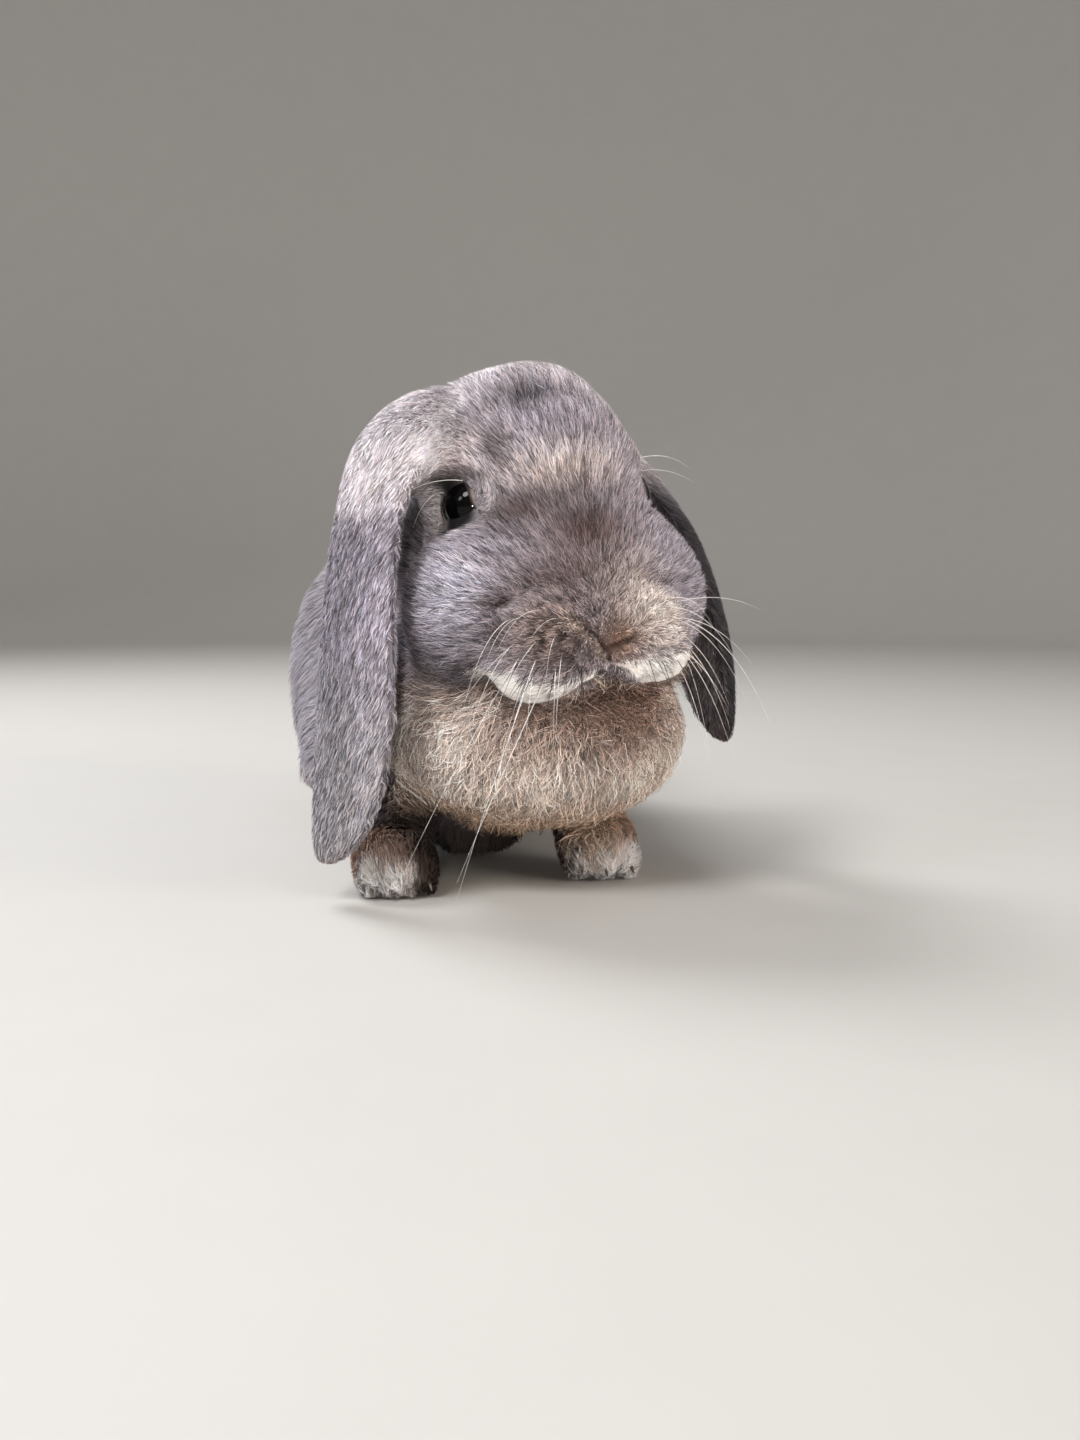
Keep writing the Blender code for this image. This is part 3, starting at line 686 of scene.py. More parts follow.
tones = {
    "grey": (0.405, 0.360, 0.400), "crown": (0.880, 0.775, 0.805), "crownShade": (0.120, 0.100, 0.135),
    "lidShade": (0.040, 0.028, 0.028), "streak": (0.070, 0.048, 0.046), "crownGap": (0.052, 0.044, 0.058),
    "band": (0.780, 0.645, 0.600), "bandShade": (0.070, 0.048, 0.044), "browShade": (0.110, 0.088, 0.094),
    "templeLight": (0.700, 0.625, 0.650), "brow": (0.820, 0.690, 0.690),
    "cheek": (0.560, 0.530, 0.620), "bridge": (0.076, 0.038, 0.026), "muzzle": (0.340, 0.250, 0.220),
    "padSpot": (0.040, 0.024, 0.020), "muzzleEdge": (0.980, 0.815, 0.720), "jawShade": (0.120, 0.103, 0.116),
    "lip": (0.990, 0.910, 0.860), "cream": (0.720, 0.555, 0.470), "chin": (0.440, 0.285, 0.215),
    "fold": (0.060, 0.026, 0.018), "noseBrown": (0.540, 0.320, 0.215),
    "eyeRing": (0.930, 0.840, 0.820), "lidPale": (0.640, 0.520, 0.480),
    "eyeRim": (0.022, 0.018, 0.020), "hollowShade": (0.010, 0.005, 0.006),
    "earTop": (0.860, 0.770, 0.810), "ear": (0.340, 0.308, 0.358), "earLow": (0.375, 0.350, 0.372),
    "earInside": (0.270, 0.220, 0.225), "earShade": (0.022, 0.018, 0.020), "earTip": (0.500, 0.400, 0.360),
    "ruff": (0.985, 0.790, 0.690), "ruffLow": (0.610, 0.415, 0.290), "ruffShade": (0.145, 0.052, 0.022),
    "nape": (0.340, 0.262, 0.215), "back": (0.285, 0.245, 0.255), "flank": (0.375, 0.348, 0.388),
    "belly": (0.520, 0.460, 0.425), "breast": (0.030, 0.020, 0.016), "tailTop": (0.300, 0.275, 0.275),
    "tailUnder": (0.900, 0.810, 0.760), "leg": (0.042, 0.027, 0.021), "paw": (0.430, 0.275, 0.205),
    "hindPaw": (0.400, 0.345, 0.330), "toe": (0.990, 0.930, 0.910), "toeGapShade": (0.090, 0.050, 0.038),
}

# patches on the head: each a bell over an oval, blended in by its share, in this order
headPatches = [
    dict(tone="crown", middle=(0.0, -0.10, 0.82), radii=(0.60, 0.60, 0.24), share=0.9),
    dict(tone="templeLight", middle=(-0.74, -0.06, 0.44), radii=(0.28, 0.30, 0.22), share=0.9),
    dict(tone="templeLight", middle=(0.72, 0.04, 0.42), radii=(0.26, 0.30, 0.20), share=0.7),
    dict(tone="brow", middle=(-0.60, -0.32, 0.32), radii=(0.18, 0.28, 0.13), share=0.85),
    dict(tone="brow", middle=(0.60, -0.32, 0.32), radii=(0.18, 0.28, 0.13), share=0.85),
    dict(tone="crownShade", middle=(-0.34, -0.52, 0.56), radii=(0.16, 0.30, 0.08), share=0.15),
    dict(tone="crownGap", middle=(-0.17, -0.46, 0.665), radii=(0.32, 0.28, 0.11), share=0.92),
    dict(tone="band", middle=(-0.14, -0.74, 0.16), radii=(0.34, 0.30, 0.12), share=0.88),
    dict(tone="bandShade", middle=(-0.42, -0.66, -0.05), radii=(0.24, 0.24, 0.10), share=0.92),
    dict(tone="crownShade", middle=(-0.17, -0.60, 0.45), radii=(0.20, 0.28, 0.09), share=0.30),
    dict(tone="streak", middle=(-0.44, -0.58, 0.33), radii=(0.07, 0.24, 0.17), share=0.70),
    dict(tone="streak", middle=(0.10, -0.62, 0.38), radii=(0.11, 0.24, 0.06), share=0.36),
    dict(tone="streak", middle=(-0.16, -0.76, 0.02), radii=(0.30, 0.24, 0.05), share=0.50),
    # the near cheek's blue-grey fur with painted light on it; the far cheek gets little of it
    dict(tone="cheek", middle=(-0.80, -0.60, -0.50), radii=(0.27, 0.34, 0.25), share=0.95),
    dict(tone="cheek", middle=(0.66, -0.78, -0.42), radii=(0.28, 0.40, 0.28), share=0.20),
    dict(tone="jawShade", middle=(-0.54, -0.70, -0.34), radii=(0.16, 0.24, 0.12), share=0.18),
    dict(tone="bridge", middle=(-0.08, -0.86, -0.20), radii=(0.34, 0.36, 0.20), share=0.90),
    dict(tone="bridge", middle=(-0.26, -0.92, -0.42), radii=(0.24, 0.36, 0.10), share=0.60),
    dict(tone="muzzle", middle=(0.02, -0.96, -0.46), radii=(0.18, 0.36, 0.14), share=0.36),
    dict(tone="muzzle", middle=(-0.42, -0.98, -0.72), radii=(0.26, 0.34, 0.26), share=0.94),
    dict(tone="muzzle", middle=(0.02, -1.04, -0.66), radii=(0.16, 0.34, 0.20), share=0.70),
    dict(tone="bridge", middle=(-0.26, -0.98, -0.53), radii=(0.15, 0.34, 0.10), share=0.30),
    dict(tone="muzzleEdge", middle=(0.22, -1.00, -0.66), radii=(0.20, 0.30, 0.24), share=0.86),
    dict(tone="jawShade", middle=(-0.86, -0.24, -0.90), radii=(0.26, 0.38, 0.27), share=0.95),
    dict(tone="jawShade", middle=(-0.76, -0.50, -0.98), radii=(0.12, 0.30, 0.16), share=0.85),
    dict(tone="jawShade", middle=(0.85, -0.20, -0.98), radii=(0.22, 0.36, 0.20), share=0.7),
    dict(tone="noseBrown", middle=(-0.02, -1.06, -0.80), radii=(0.12, 0.20, 0.10), share=0.85),
    dict(tone="jawShade", middle=(-1.00, -0.22, -0.46), radii=(0.10, 0.30, 0.32), share=0.92),
    dict(tone="jawShade", middle=(1.00, -0.22, -0.46), radii=(0.09, 0.30, 0.30), share=0.80),
    dict(tone="lidShade", middle=(-0.68, -0.20, 0.20), radii=(0.13, 0.12, 0.06), share=0.92),
    dict(tone="lidShade", middle=(0.68, -0.20, 0.20), radii=(0.13, 0.12, 0.06), share=0.92),
    # painted shade: near-black patches in the hollows behind the eyes and under the ears' roots
    dict(tone="hollowShade", middle=(-0.54, 0.50, -0.12), radii=(0.16, 0.26, 0.26), share=0.97),
    dict(tone="hollowShade", middle=(-0.62, 0.32, -0.02), radii=(0.20, 0.16, 0.22), share=0.98),
    dict(tone="hollowShade", middle=(0.70, 0.16, -0.04), radii=(0.18, 0.14, 0.18), share=0.75),
    dict(tone="eyeRing", middle=(-0.64, 0.02, -0.02), radii=(0.10, 0.12, 0.16), share=0.85),
    dict(tone="eyeRing", middle=(0.64, 0.02, -0.02), radii=(0.10, 0.12, 0.16), share=0.60),
]
# lines on the head: a bell of the half width on each side, in metres
creamLines = [  # pale edges beside the nostrils
    dict(line=[(-0.33, -1.02, -0.65), (-0.25, -1.04, -0.75), (-0.15, -1.05, -0.86)],
         half=0.0013, share=0.75),
    dict(line=[(0.14, -1.03, -0.74), (0.04, -1.05, -0.82)], half=0.0012, share=0.45),
]
browArc = dict(line=[(-0.60, -0.22, 0.52), (-0.50, -0.352, 0.449), (-0.47, -0.472, 0.346),
                     (-0.47, -0.514, 0.262)], half=0.0022, share=0.65)
padDots = {  # dark roots of whiskers in loose rows over the pads
    "areas": [((-0.42, -1.0, -0.72), (0.24, 0.34, 0.24)), ((0.26, -1.0, -0.74), (0.22, 0.34, 0.22))],
    "size": 0.0030, "seed": 51, "waves": 14, "dark": (0.15, 0.75), "share": 0.9,
    "leftLess": 0.6, "left": (-0.05, 0.15),
}
eyeMarks = {  # rings round an eye, as distances from its middle and widths, in metres
    "ring": (0.0118, 0.0022), "ringShare": 0.95, "frontLess": 0.6,
    "lid": (0.0108, 0.0014), "lidShare": 0.9, "rim": (0.99, 1.07), "rimShare": 0.95,
    "above": (0.001, 0.009), "front": (-0.006, 0.002),  # heights, and ways back, over which each fades
}
chin = {  # how far down, forwards and to the sides of its middle it goes, in head units
    "share": 0.85, "down": (1.02, 1.08), "ahead": (0.30, 0.55), "middle": -0.1, "half": (0.62, 0.75),
}
earMarks = {  # places along the ear: 0 at its top, 1 at its tip
    "fold": (0.22, 0.31), "foldWaves": (0.010, 61, 0.012), "low": (0.45, 0.8), "tip": (0.955, 0.995),
    "hollowShade": ((-0.88, 0.00, -0.04), (0.16, 0.32, 0.26)), "hollowShadeShare": 0.9,
    "shade": 0.86, "shaded": (0.0, 0.40), "dim": 0.35, "dimmed": (0.4, 0.8), "tipShare": 0.7,
    "insideShare": 0.55, "inside": (0.12, 0.3), "inward": (0.6, 0.95), "backwards": 0.6,
    "edgePaintedLight": 0.35, "edge": (0.3, 0.45), "edgeWidth": (0.004, 0.014),
}
bodyMarks = {  # heights as shares of the trunk's own, and places in metres
    "back": (0.45, 0.95), "belly": (0.04, 0.16), "napeHeight": 0.030, "napeBack": 0.03, "napeShare": 0.8,
    "leg": (0.90, 0.55), "legOuter": (0.2, 0.9),
    "breast": ((0.0, 0.035, 0.010), (0.045, 0.045, 0.022)), "breastGain": 1.5, "breastShare": 0.95,
    "toeBack": (0.007, 0.016), "toeHeight": (0.012, 0.019), "toeAcross": (0.20, 0.46),
    "pawAcross": (0.20, 0.66), "gapShare": 0.9, "pawGap": 0.004,  # a paw's tones reach this far off it
}
# painted shade under the chin and between the locks, and painted light on the ruff's left side
ruffMarks = {
    "height": (0.1, 0.5), "shade": 0.92, "leftPaintedLight": 0.22, "left": (0.0, 0.5), "dark": 0.86,
    "chin": [((0.22, -0.72, -1.20), (0.46, 0.5, 0.17), 1.0),
             ((-0.42, -0.72, -1.22), (0.28, 0.4, 0.10), 0.60)],
    "lockShade": [(0.35, 0.013, 71, 9, 0.4, 1.3), (0.65, 0.0050, 72, 14, 0.25, 1.0)],
}
tailMarks = {"waves": (0.006, 91, 0.16), "under": (0.30, 0.95)}
coatWaves = [(0.022, 11, 0.07), (0.007, 12, 0.06)]  # size, seed and strength of the light and dark areas


def lineBell(h, mark, squash):  # exp(-(distance / half width)^2), with the distance in metres
    line = [tuple(np.array(place) * squash) for place in mark["line"]]
    return np.exp(-(lineDistance(h * squash, line) * headUnit / mark["half"]) ** 2)


def headMarkings(p, h):
    # patches, lines and rings over the grey, each mixed in by its share
    colour = np.tile(tones["grey"], (len(p), 1))
    for patch in headPatches:
        share = patch["share"] * spot(h, patch["middle"], patch["radii"])
        colour = mixed(colour, tones[patch["tone"]], share)
    for sign in (1, -1):
        arc = lineBell(h * [sign, 1, 1], browArc, [1, 1, 1])
        colour = mixed(colour, tones["browShade"], browArc["share"] * arc)
    padArea = np.clip(sum(spot(h, *area) for area in padDots["areas"]), 0, 1)
    dots = ramp(waves(p, padDots["size"], padDots["seed"], padDots["waves"]), *padDots["dark"])
    share = padDots["share"] - padDots["leftLess"] * ramp(h[:, 0], *padDots["left"])
    colour = mixed(colour, tones["padSpot"], share * padArea * dots)
    under = ramp(-h[:, 2], *chin["down"]) * ramp(-h[:, 1], *chin["ahead"])
    under = under * (1 - ramp(np.abs(h[:, 0] - chin["middle"]), *chin["half"]))
    colour = mixed(colour, tones["chin"], chin["share"] * under)
    for mark in creamLines:
        colour = mixed(colour, tones["cream"], mark["share"] * lineBell(h, mark, [1, 0.45, 1]))
    for middle in eyeMiddles.values():
        colour = eyeMarkings(colour, p, middle)
    # painted shade in the creases of the face, and the dark skin of the nostrils and mouth
    colour = mixed(colour, tones["fold"], foldShade(h) * (h[:, 1] < -0.45))
    return mixed(colour, tones["lip"], lipShare(h))


def eyeMarkings(colour, p, middle):
    # a pale ring below and behind the eye, a dark ring of painted lid shadow above it, and the dark rim of
    # the lids
    away = lengthOf(p - middle)[:, 0]
    above = ramp((p - middle)[:, 2], *eyeMarks["above"])
    front = 1 - ramp((p - middle)[:, 1], *eyeMarks["front"])
    place, width = eyeMarks["ring"]
    ring = np.exp(-((away - place) / width) ** 2) * (1 - above) * (1 - eyeMarks["frontLess"] * front)
    colour = mixed(colour, tones["eyeRing"], eyeMarks["ringShare"] * ring)
    place, width = eyeMarks["lid"]
    lid = np.exp(-((away - place) / width) ** 2) * above
    colour = mixed(colour, tones["lidShade"], eyeMarks["lidShare"] * lid)
    rim = 1 - ramp(lidMeasure(p), *eyeMarks["rim"])
    return mixed(colour, tones["eyeRim"], eyeMarks["rimShare"] * rim)


def earMarkings(p, h, n, side):
    # tones change with the way down the ear, which is 0 at its top and 1 at its tip
    low, high = boxOf("ear_" + side)
    sign = 1 if side == "right" else -1
    along = (high[2] - p[:, 2]) / (high[2] - low[2])
    size, seed, strength = earMarks["foldWaves"]
    fold = ramp(along + strength * waves(p, size, seed), *earMarks["fold"])
    colour = mixed(tones["earTop"], tones["ear"], fold)
    colour = mixed(colour, tones["earLow"], ramp(along, *earMarks["low"]))
    # painted shade in the hollow under the ear's root
    hollowShade = spot(h * [sign, 1, 1], *earMarks["hollowShade"])
    colour = mixed(colour, tones["hollowShade"], earMarks["hollowShadeShare"] * hollowShade)
    # the far ear is darkened down its length, mostly as painted shade over its own darker fur
    if side == "left":
        colour = mixed(colour, tones["earShade"], earMarks["shade"] * ramp(along, *earMarks["shaded"]))
        colour = colour * (1 - earMarks["dim"] * ramp(along, *earMarks["dimmed"]))[:, None]
    colour = mixed(colour, tones["earTip"], earMarks["tipShare"] * ramp(along, *earMarks["tip"]))
    inward = n @ headX * sign + earMarks["backwards"] * (n @ headY)
    inside = ramp(inward, *earMarks["inward"]) * ramp(along, *earMarks["inside"])
    colour = mixed(colour, tones["earInside"], earMarks["insideShare"] * inside)
    # painted light: the near ear's front edge is made up to 35% lighter
    if side == "right":
        near, far = earMarks["edgeWidth"]
        edge = (1 - ramp(p[:, 1], low[1] + near, low[1] + far)) * ramp(along, *earMarks["edge"])
        colour = colour * (1 + earMarks["edgePaintedLight"] * edge)[:, None]
    return colour


def bodyMarkings(p, n, kinds):
    # from flank to back by height, with a pale belly, a brown nape and painted shade on inner legs and breast
    low, high = boxOf("trunk")
    height = (p[:, 2] - low[2]) / (high[2] - low[2])
    colour = mixed(tones["flank"], tones["back"], ramp(height, *bodyMarks["back"]))
    colour = mixed(colour, tones["belly"], 1 - ramp(height, *bodyMarks["belly"]))
    neckHigh = boxOf("neck")[1]
    nape = ramp(p[:, 2], neckHigh[2] - bodyMarks["napeHeight"], neckHigh[2])
    nape = nape * (1 - ramp(p[:, 1], neckHigh[1], neckHigh[1] + bodyMarks["napeBack"]))
    colour = mixed(colour, tones["nape"], bodyMarks["napeShare"] * nape)
    # painted shade on the forelegs under the ruff, most on their inner sides, over dark brown fur
    outer = ramp(n[:, 0] * np.sign(p[:, 0] - pawsMiddle[0]), *bodyMarks["legOuter"])
    inner, less = bodyMarks["leg"]
    colour = mixed(colour, tones["leg"], (inner - less * outer) * (kinds == "foreleg"))
    # painted shade under the breast, between the forepaws, over dark brown fur
    under = np.clip(bodyMarks["breastGain"] * spot(p - pawsMiddle, *bodyMarks["breast"]), 0, 1)
    colour = mixed(colour, tones["breast"], bodyMarks["breastShare"] * under)
    for name in pawNames:
        low, high = boxOf(name)
        inside = np.all((p > low - bodyMarks["pawGap"]) & (p < high + bodyMarks["pawGap"]), axis=1)
        colour = np.where(inside[:, None], pawMarkings(p, name, inside), colour)
    return colour


def pawMarkings(p, name, inside):
    # white on the toes' outer backs, brown painted shade between them; painted shade on a forepaw's inner
    # side
    low, high = boxOf(name)
    outward = (p[:, 0] - low[0]) / (high[0] - low[0])
    outward = outward if name.endswith("left") else 1 - outward
    back, top = bodyMarks["toeBack"], bodyMarks["toeHeight"]
    toe = (1 - ramp(p[:, 1], low[1] + back[0], low[1] + back[1])) * (1 - ramp(p[:, 2], *top))
    toe *= ramp(outward, *bodyMarks["toeAcross"])
    if name.startswith("hind"):
        colour = np.tile(tones["hindPaw"], (len(p), 1))
    else:
        # a forepaw's inner side takes the legs' painted shade
        dark = 1 - ramp(outward, *bodyMarks["pawAcross"])
        colour = mixed(np.tile(tones["paw"], (len(p), 1)), tones["leg"], dark)
    colour = mixed(colour, tones["toe"], toe)
    # painted shade, in brown, in the grooves between the toes
    gap = np.clip(-toePattern(p, np.where(inside, name, "")), 0, 1)
    return mixed(colour, tones["toeGapShade"], bodyMarks["gapShare"] * gap)


def ruffMarkings(p, h):
    # paler upwards, in the chin's painted shade below the jaws, with painted shade between the locks
    low, high = boxOf("ruff")
    height = (p[:, 2] - low[2]) / (high[2] - low[2])
    colour = mixed(tones["ruffLow"], tones["ruff"], ramp(height, *ruffMarks["height"]))
    shaded = sum(share * spot(h, middle, radii) for middle, radii, share in ruffMarks["chin"])
    colour = mixed(colour, tones["ruffShade"], ruffMarks["shade"] * np.clip(shaded, 0, 1))
    # painted light: the ruff's left side is made lighter, where the warm fill falls
    colour = colour * (1 + ruffMarks["leftPaintedLight"] * ramp(h[:, 0], *ruffMarks["left"]))[:, None]
    # painted shade in patches between the locks
    lockShade = sum(
        share * ramp(waves(p, size, seed, count), start, full)
        for share, size, seed, count, start, full in ruffMarks["lockShade"]
    )
    return colour * (1 - ruffMarks["dark"] * np.clip(lockShade, 0, 1))[:, None]


def tailMarkings(p, n):  # pale where the tail looks backwards, with a wavy border
    size, seed, strength = tailMarks["waves"]
    back = ramp(n[:, 1] + strength * waves(p, size, seed), *tailMarks["under"])
    return mixed(tones["tailTop"], tones["tailUnder"], back)


def markings(p, n, nodes, kinds, edges):
    # each node paints its own colours; the borders are then blended, but the face stays sharp
    h = toHead(p)
    colour = bodyMarkings(p, n, kinds)
    layers = [
        (kinds == "head", headMarkings(p, h)), (kinds == "ruff", ruffMarkings(p, h)),
        (kinds == "tail", tailMarkings(p, n)), (nodes == "ear_right", earMarkings(p, h, n, "right")),
        (nodes == "ear_left", earMarkings(p, h, n, "left")),
    ]
    for mask, painted in layers:
        colour = np.where(mask[:, None], painted, colour)
    soft = averaged(colour, edges, 3)
    sharp = ((kinds == "head") & (h[:, 1] < -0.45))[:, None]
    colour = np.where(sharp, colour, soft)
    return colour * (1 + sum(strength * waves(p, size, seed) for size, seed, strength in coatWaves))[:, None]


# the lie of the coat

lies = {  # the way that each kind of coat points: left, back and up
    "body": (0.0, 1.0, -0.30), "tail": (0, 0.1, 1.0), "foreleg": (0, -0.25, -1.0),
    "forepaw": (0, -1.0, -0.45), "hind_leg": (0, 0.75, -0.65), "hind_foot": (0, -1.0, -0.15),
}
earLie = {"root": (0.30, 0.36, 0.62), "outward": 0.6, "drop": -0.5}
ruffLie = {"chin": (0.0, -0.45, -0.95), "drop": -0.55}
browFan = dict(middle=(0.62, -0.36, 0.30), radii=(0.24, 0.30, 0.18), turn=-1.5)  # for the left side
eyeParting = {"near": (0.011, 0.020), "outward": 0.35}


def lieOf(p, n, nodes, kinds, edges):
    # the head's coat points away from the nose, an ear's away from its root and the ruff's away from
    # the chin; the others have a way of their own, and all are averaged over the skin
    way = np.tile(lies["body"], (len(p), 1))
    way = np.where((kinds == "head")[:, None], unit(p - fromHead(nose["tip"])), way)
    for word, sign in (("right", -1), ("left", 1)):
        root = fromHead(np.array(earLie["root"]) * [sign, 1, 1])
        down = unit(p - root) + headX * sign * earLie["outward"] + (0, 0, earLie["drop"])
        way = np.where((nodes == "ear_" + word)[:, None], down, way)
    # over the eyes it fans outwards
    h = toHead(p)
    middle, radii = browFan["middle"], browFan["radii"]
    fan = spot(h * [-1, 1, 1], middle, radii) - spot(h, middle, radii)
    way = way + browFan["turn"] * fan[:, None] * headX * (kinds == "head")[:, None]
    away = unit(p - fromHead(ruffLie["chin"])) + (0, 0, ruffLie["drop"])
    way = np.where((kinds == "ruff")[:, None], away, way)
    for kind in ("tail", "foreleg", "forepaw", "hind_leg", "hind_foot"):
        way = np.where((kinds == kind)[:, None], lies[kind], way)
    way = tangent(averaged(tangent(way, n), edges, 8), n)
    # the hair parts round each eye: the share of it that points at the eye is taken away
    for middle in eyeMiddles.values():
        out = tangent(p - middle, n)
        near = 1 - ramp(lengthOf(p - middle), *eyeParting["near"])
        toward = np.minimum(np.sum(way * out, axis=1, keepdims=True), 0)
        way = way + near * (eyeParting["outward"] - toward) * out
    way = tangent(way, n)
    return tangent(averaged(way, edges, 2), n)


# finding the nearest skin quickly

def nearestGrid(points, cell=0.002, reach=0.012):
    # a grid of cells, each with the number of its nearest point, which is handed on from cell to cell
    # as far as the reach, where it is nearer than the one that the cell has
    low = points.min(axis=0) - reach
    size = np.ceil((points.max(axis=0) + reach - low) / cell).astype(int) + 1
    index = np.full(size, -1, np.int32)
    cells = ((points - low) / cell).astype(int)
    index[tuple(cells.T)] = np.arange(len(points))
    centres = np.stack(np.meshgrid(*[np.arange(s) for s in size], indexing="ij"), -1)
    centres = (low + (centres + 0.5) * cell).astype(np.float32)
    spots = np.vstack([points, [[9.0, 9.0, 9.0]]]).astype(np.float32)  # the last stands for none
    apart = np.sum((centres - spots[index]) ** 2, axis=-1)
    for _ in range(int(reach / cell) + 2):
        for axis in range(3):
            for step in (1, -1):
                other = np.roll(index, step, axis)
                distance = np.sum((centres - spots[other]) ** 2, axis=-1)
                better = distance < apart
                index[better] = other[better]
                apart[better] = distance[better]
    return dict(low=low, cell=cell, size=size, index=index)


def lidMeasure(p):
    # 1 on the rim of the nearer eye's opening and less inside it: hypot(x / half width, z / half
    # height) over the rim's reach at that angle
    found = np.full(len(p), 9.0)
    for side, middle in eyeMiddles.items():
        out, up, front = eyeAxes(side)
        off = p - middle
        x, z = off @ front / eyeShape["opening"][0], off @ up / eyeShape["opening"][1]
        oval = np.hypot(x, z) / lidReach(np.arctan2(z, x))
        oval = np.where((off @ out > 0) & (lengthOf(off)[:, 0] < 0.02), oval, 9.0)
        found = np.minimum(found, oval)
    return found


def outsideEyes(p, gap=0.0010):  # points in an eyeball move out along its radius to just above it
    for middle in eyeMiddles.values():
        off = p - middle
        away = lengthOf(off)
        p = middle + off * np.maximum(1, (eyeShape["radius"] + gap) / np.maximum(away, 1e-6))
    return p


def nearest(grid, p):  # the number that stands in each point's cell
    cells = np.clip(((p - grid["low"]) / grid["cell"]).astype(int), 0, grid["size"] - 1)
    return grid["index"][tuple(cells.T)]


# tufts

shades = {  # a tuft's colour, as shares of the marking: at the root, half way and at the tip
    "head": (0.20, 0.82, 1.38), "ruff": (0.10, 0.68, 1.56), "ear": (0.50, 0.95, 1.20),
    "neck": (0.56, 0.94, 1.14), "trunk": (0.58, 0.95, 1.12), "tail": (0.78, 0.97, 1.05),
    "foreleg": (0.35, 0.92, 1.22), "forepaw": (0.50, 0.96, 1.16),
    "hind_leg": (0.58, 0.95, 1.12), "hind_foot": (0.60, 0.96, 1.12),
}
padTicking = dict(middle=(-0.08, -1.0, -0.72), radii=(0.55, 0.4, 0.26))  # where hairs differ most
ticking = {  # how much the hairs of a coat differ in tone
    "head": 0.50, "ruff": 0.64, "ear": 0.38, "neck": 0.24, "trunk": 0.22, "tail": 0.12,
    "foreleg": 0.42, "forepaw": 0.34, "hind_leg": 0.22, "hind_foot": 0.20,
}
clumps = {  # how far apart the tips gather, and how strongly
    "head": (0.0021, 0.34), "ruff": (0.0030, 0.46), "ear": (0.0017, 0.14), "neck": (0.0036, 0.34),
    "trunk": (0.0036, 0.34), "tail": (0.0040, 0.34), "foreleg": (0.0036, 0.5), "forepaw": (0.0026, 0.45),
    "hind_leg": (0.0036, 0.34), "hind_foot": (0.0026, 0.4),
}
tuftHabits = {
    "length": (0.70, 1.20), "depth": (0.35, 1.10), "width": (0.7, 1.3),  # shares of the coat's own
    "sunk": 0.0003, "floor": 0.0004, "rise": 1.7,  # rise: the power of its curve away from the skin
    "stray": 0.72, "locks": [(0.0045, 31, 0.9), (0.014, 32, 0.5)],  # locks: size, seed and share
    "twist": 0.45, "leastReach": 0.35,
    "taper": {2: (0.85, 0.9, 0.0), 3: (0.75, 1.0, 0.72, 0.0)},  # its width at each station
    "tone": 0.70, "streaks": (0.0026, 41, 14, 0.75), "drawn": 0.7, "brightest": 1.55,
    "blackTips": (0.8, 0.13, 0.42), "warmth": 0.04,
    "white": (0.80, 0.90), "whiteTone": (0.88, 1.1), "whiteFade": (1.00, 1.06),
    "patch": (0.0024, 0.003),  # the bake's patch: across and along
}


def gathered(spine, size, strength):
    # roots in the same cell of a warped grid lean their tips towards the mean of their tips, by the
    # strength times the power 1.6 of the way along
    root, tip = spine[:, 0], spine[:, -1]
    warp = np.stack([waves(root, size * 3, seed) for seed in (81, 82, 83)], axis=1) * size * 0.5
    cells = np.floor((root + warp) / size).astype(np.int64)
    keys = (cells[:, 0] * 4096 + cells[:, 1]) * 4096 + cells[:, 2]
    which = np.unique(keys, return_inverse=True)[1].ravel()
    count = np.bincount(which)
    mean = np.stack([np.bincount(which, tip[:, k]) / count for k in range(3)], axis=1)[which]
    t = np.linspace(0, 1, spine.shape[1])[None, :, None]
    return spine + (mean - tip)[:, None] * strength * t ** 1.6


def tuftSpines(skin, at, segments, grid, clump):
    # every tuft walks over the skin by equal steps along the lie, turned by its own stray angle, and
    # rises from it by depth * (1 - (1 - t)^rise)
    habits = tuftHabits
    root, normal, way = at(skin["points"]), unit(at(skin["normals"])), unit(at(skin["lie"]))
    count = len(root)
    length = at(skin["length"]) * rng.uniform(*habits["length"], count)
    depth = at(skin["depth"]) * rng.uniform(*habits["depth"], count)
    width = at(skin["width"]) * rng.uniform(*habits["width"], count)
    mess = np.radians(at(skin["mess"]))
    curl = np.radians(at(skin["curl"])) * rng.normal(size=count)
    locks = sum(share * waves(root, size, seed) for size, seed, share in habits["locks"])
    stray = mess * (habits["stray"] * rng.normal(size=count) + habits["stray"] * locks)
    twist = rng.normal(0, habits["twist"], count)
    reach = np.sqrt(np.maximum(length ** 2 - depth ** 2, (habits["leastReach"] * length) ** 2))
    steps = np.linspace(0, 1, segments + 1)
    spine = [root - normal * habits["sunk"]]
    normals = [normal]
    place, n, lie = root, normal, way
    for k in range(1, segments + 1):
        angle = (stray + curl * (steps[k] - 0.5))[:, None]
        ahead = unit(np.cos(angle) * lie + np.sin(angle) * np.cross(n, lie))
        place = place + ahead * (reach / segments)[:, None]
        found = nearest(grid, place)
        n = skin["normals"][found]
        lie = tangent(skin["lie"][found], n)
        height = depth * (1 - (1 - steps[k]) ** habits["rise"])
        place = place - n * np.sum((place - skin["points"][found]) * n, axis=1)[:, None]
        spine.append(place + n * height[:, None])
        normals.append(n)
    return gathered(np.stack(spine, axis=1), *clump), np.stack(normals, axis=1), width, twist


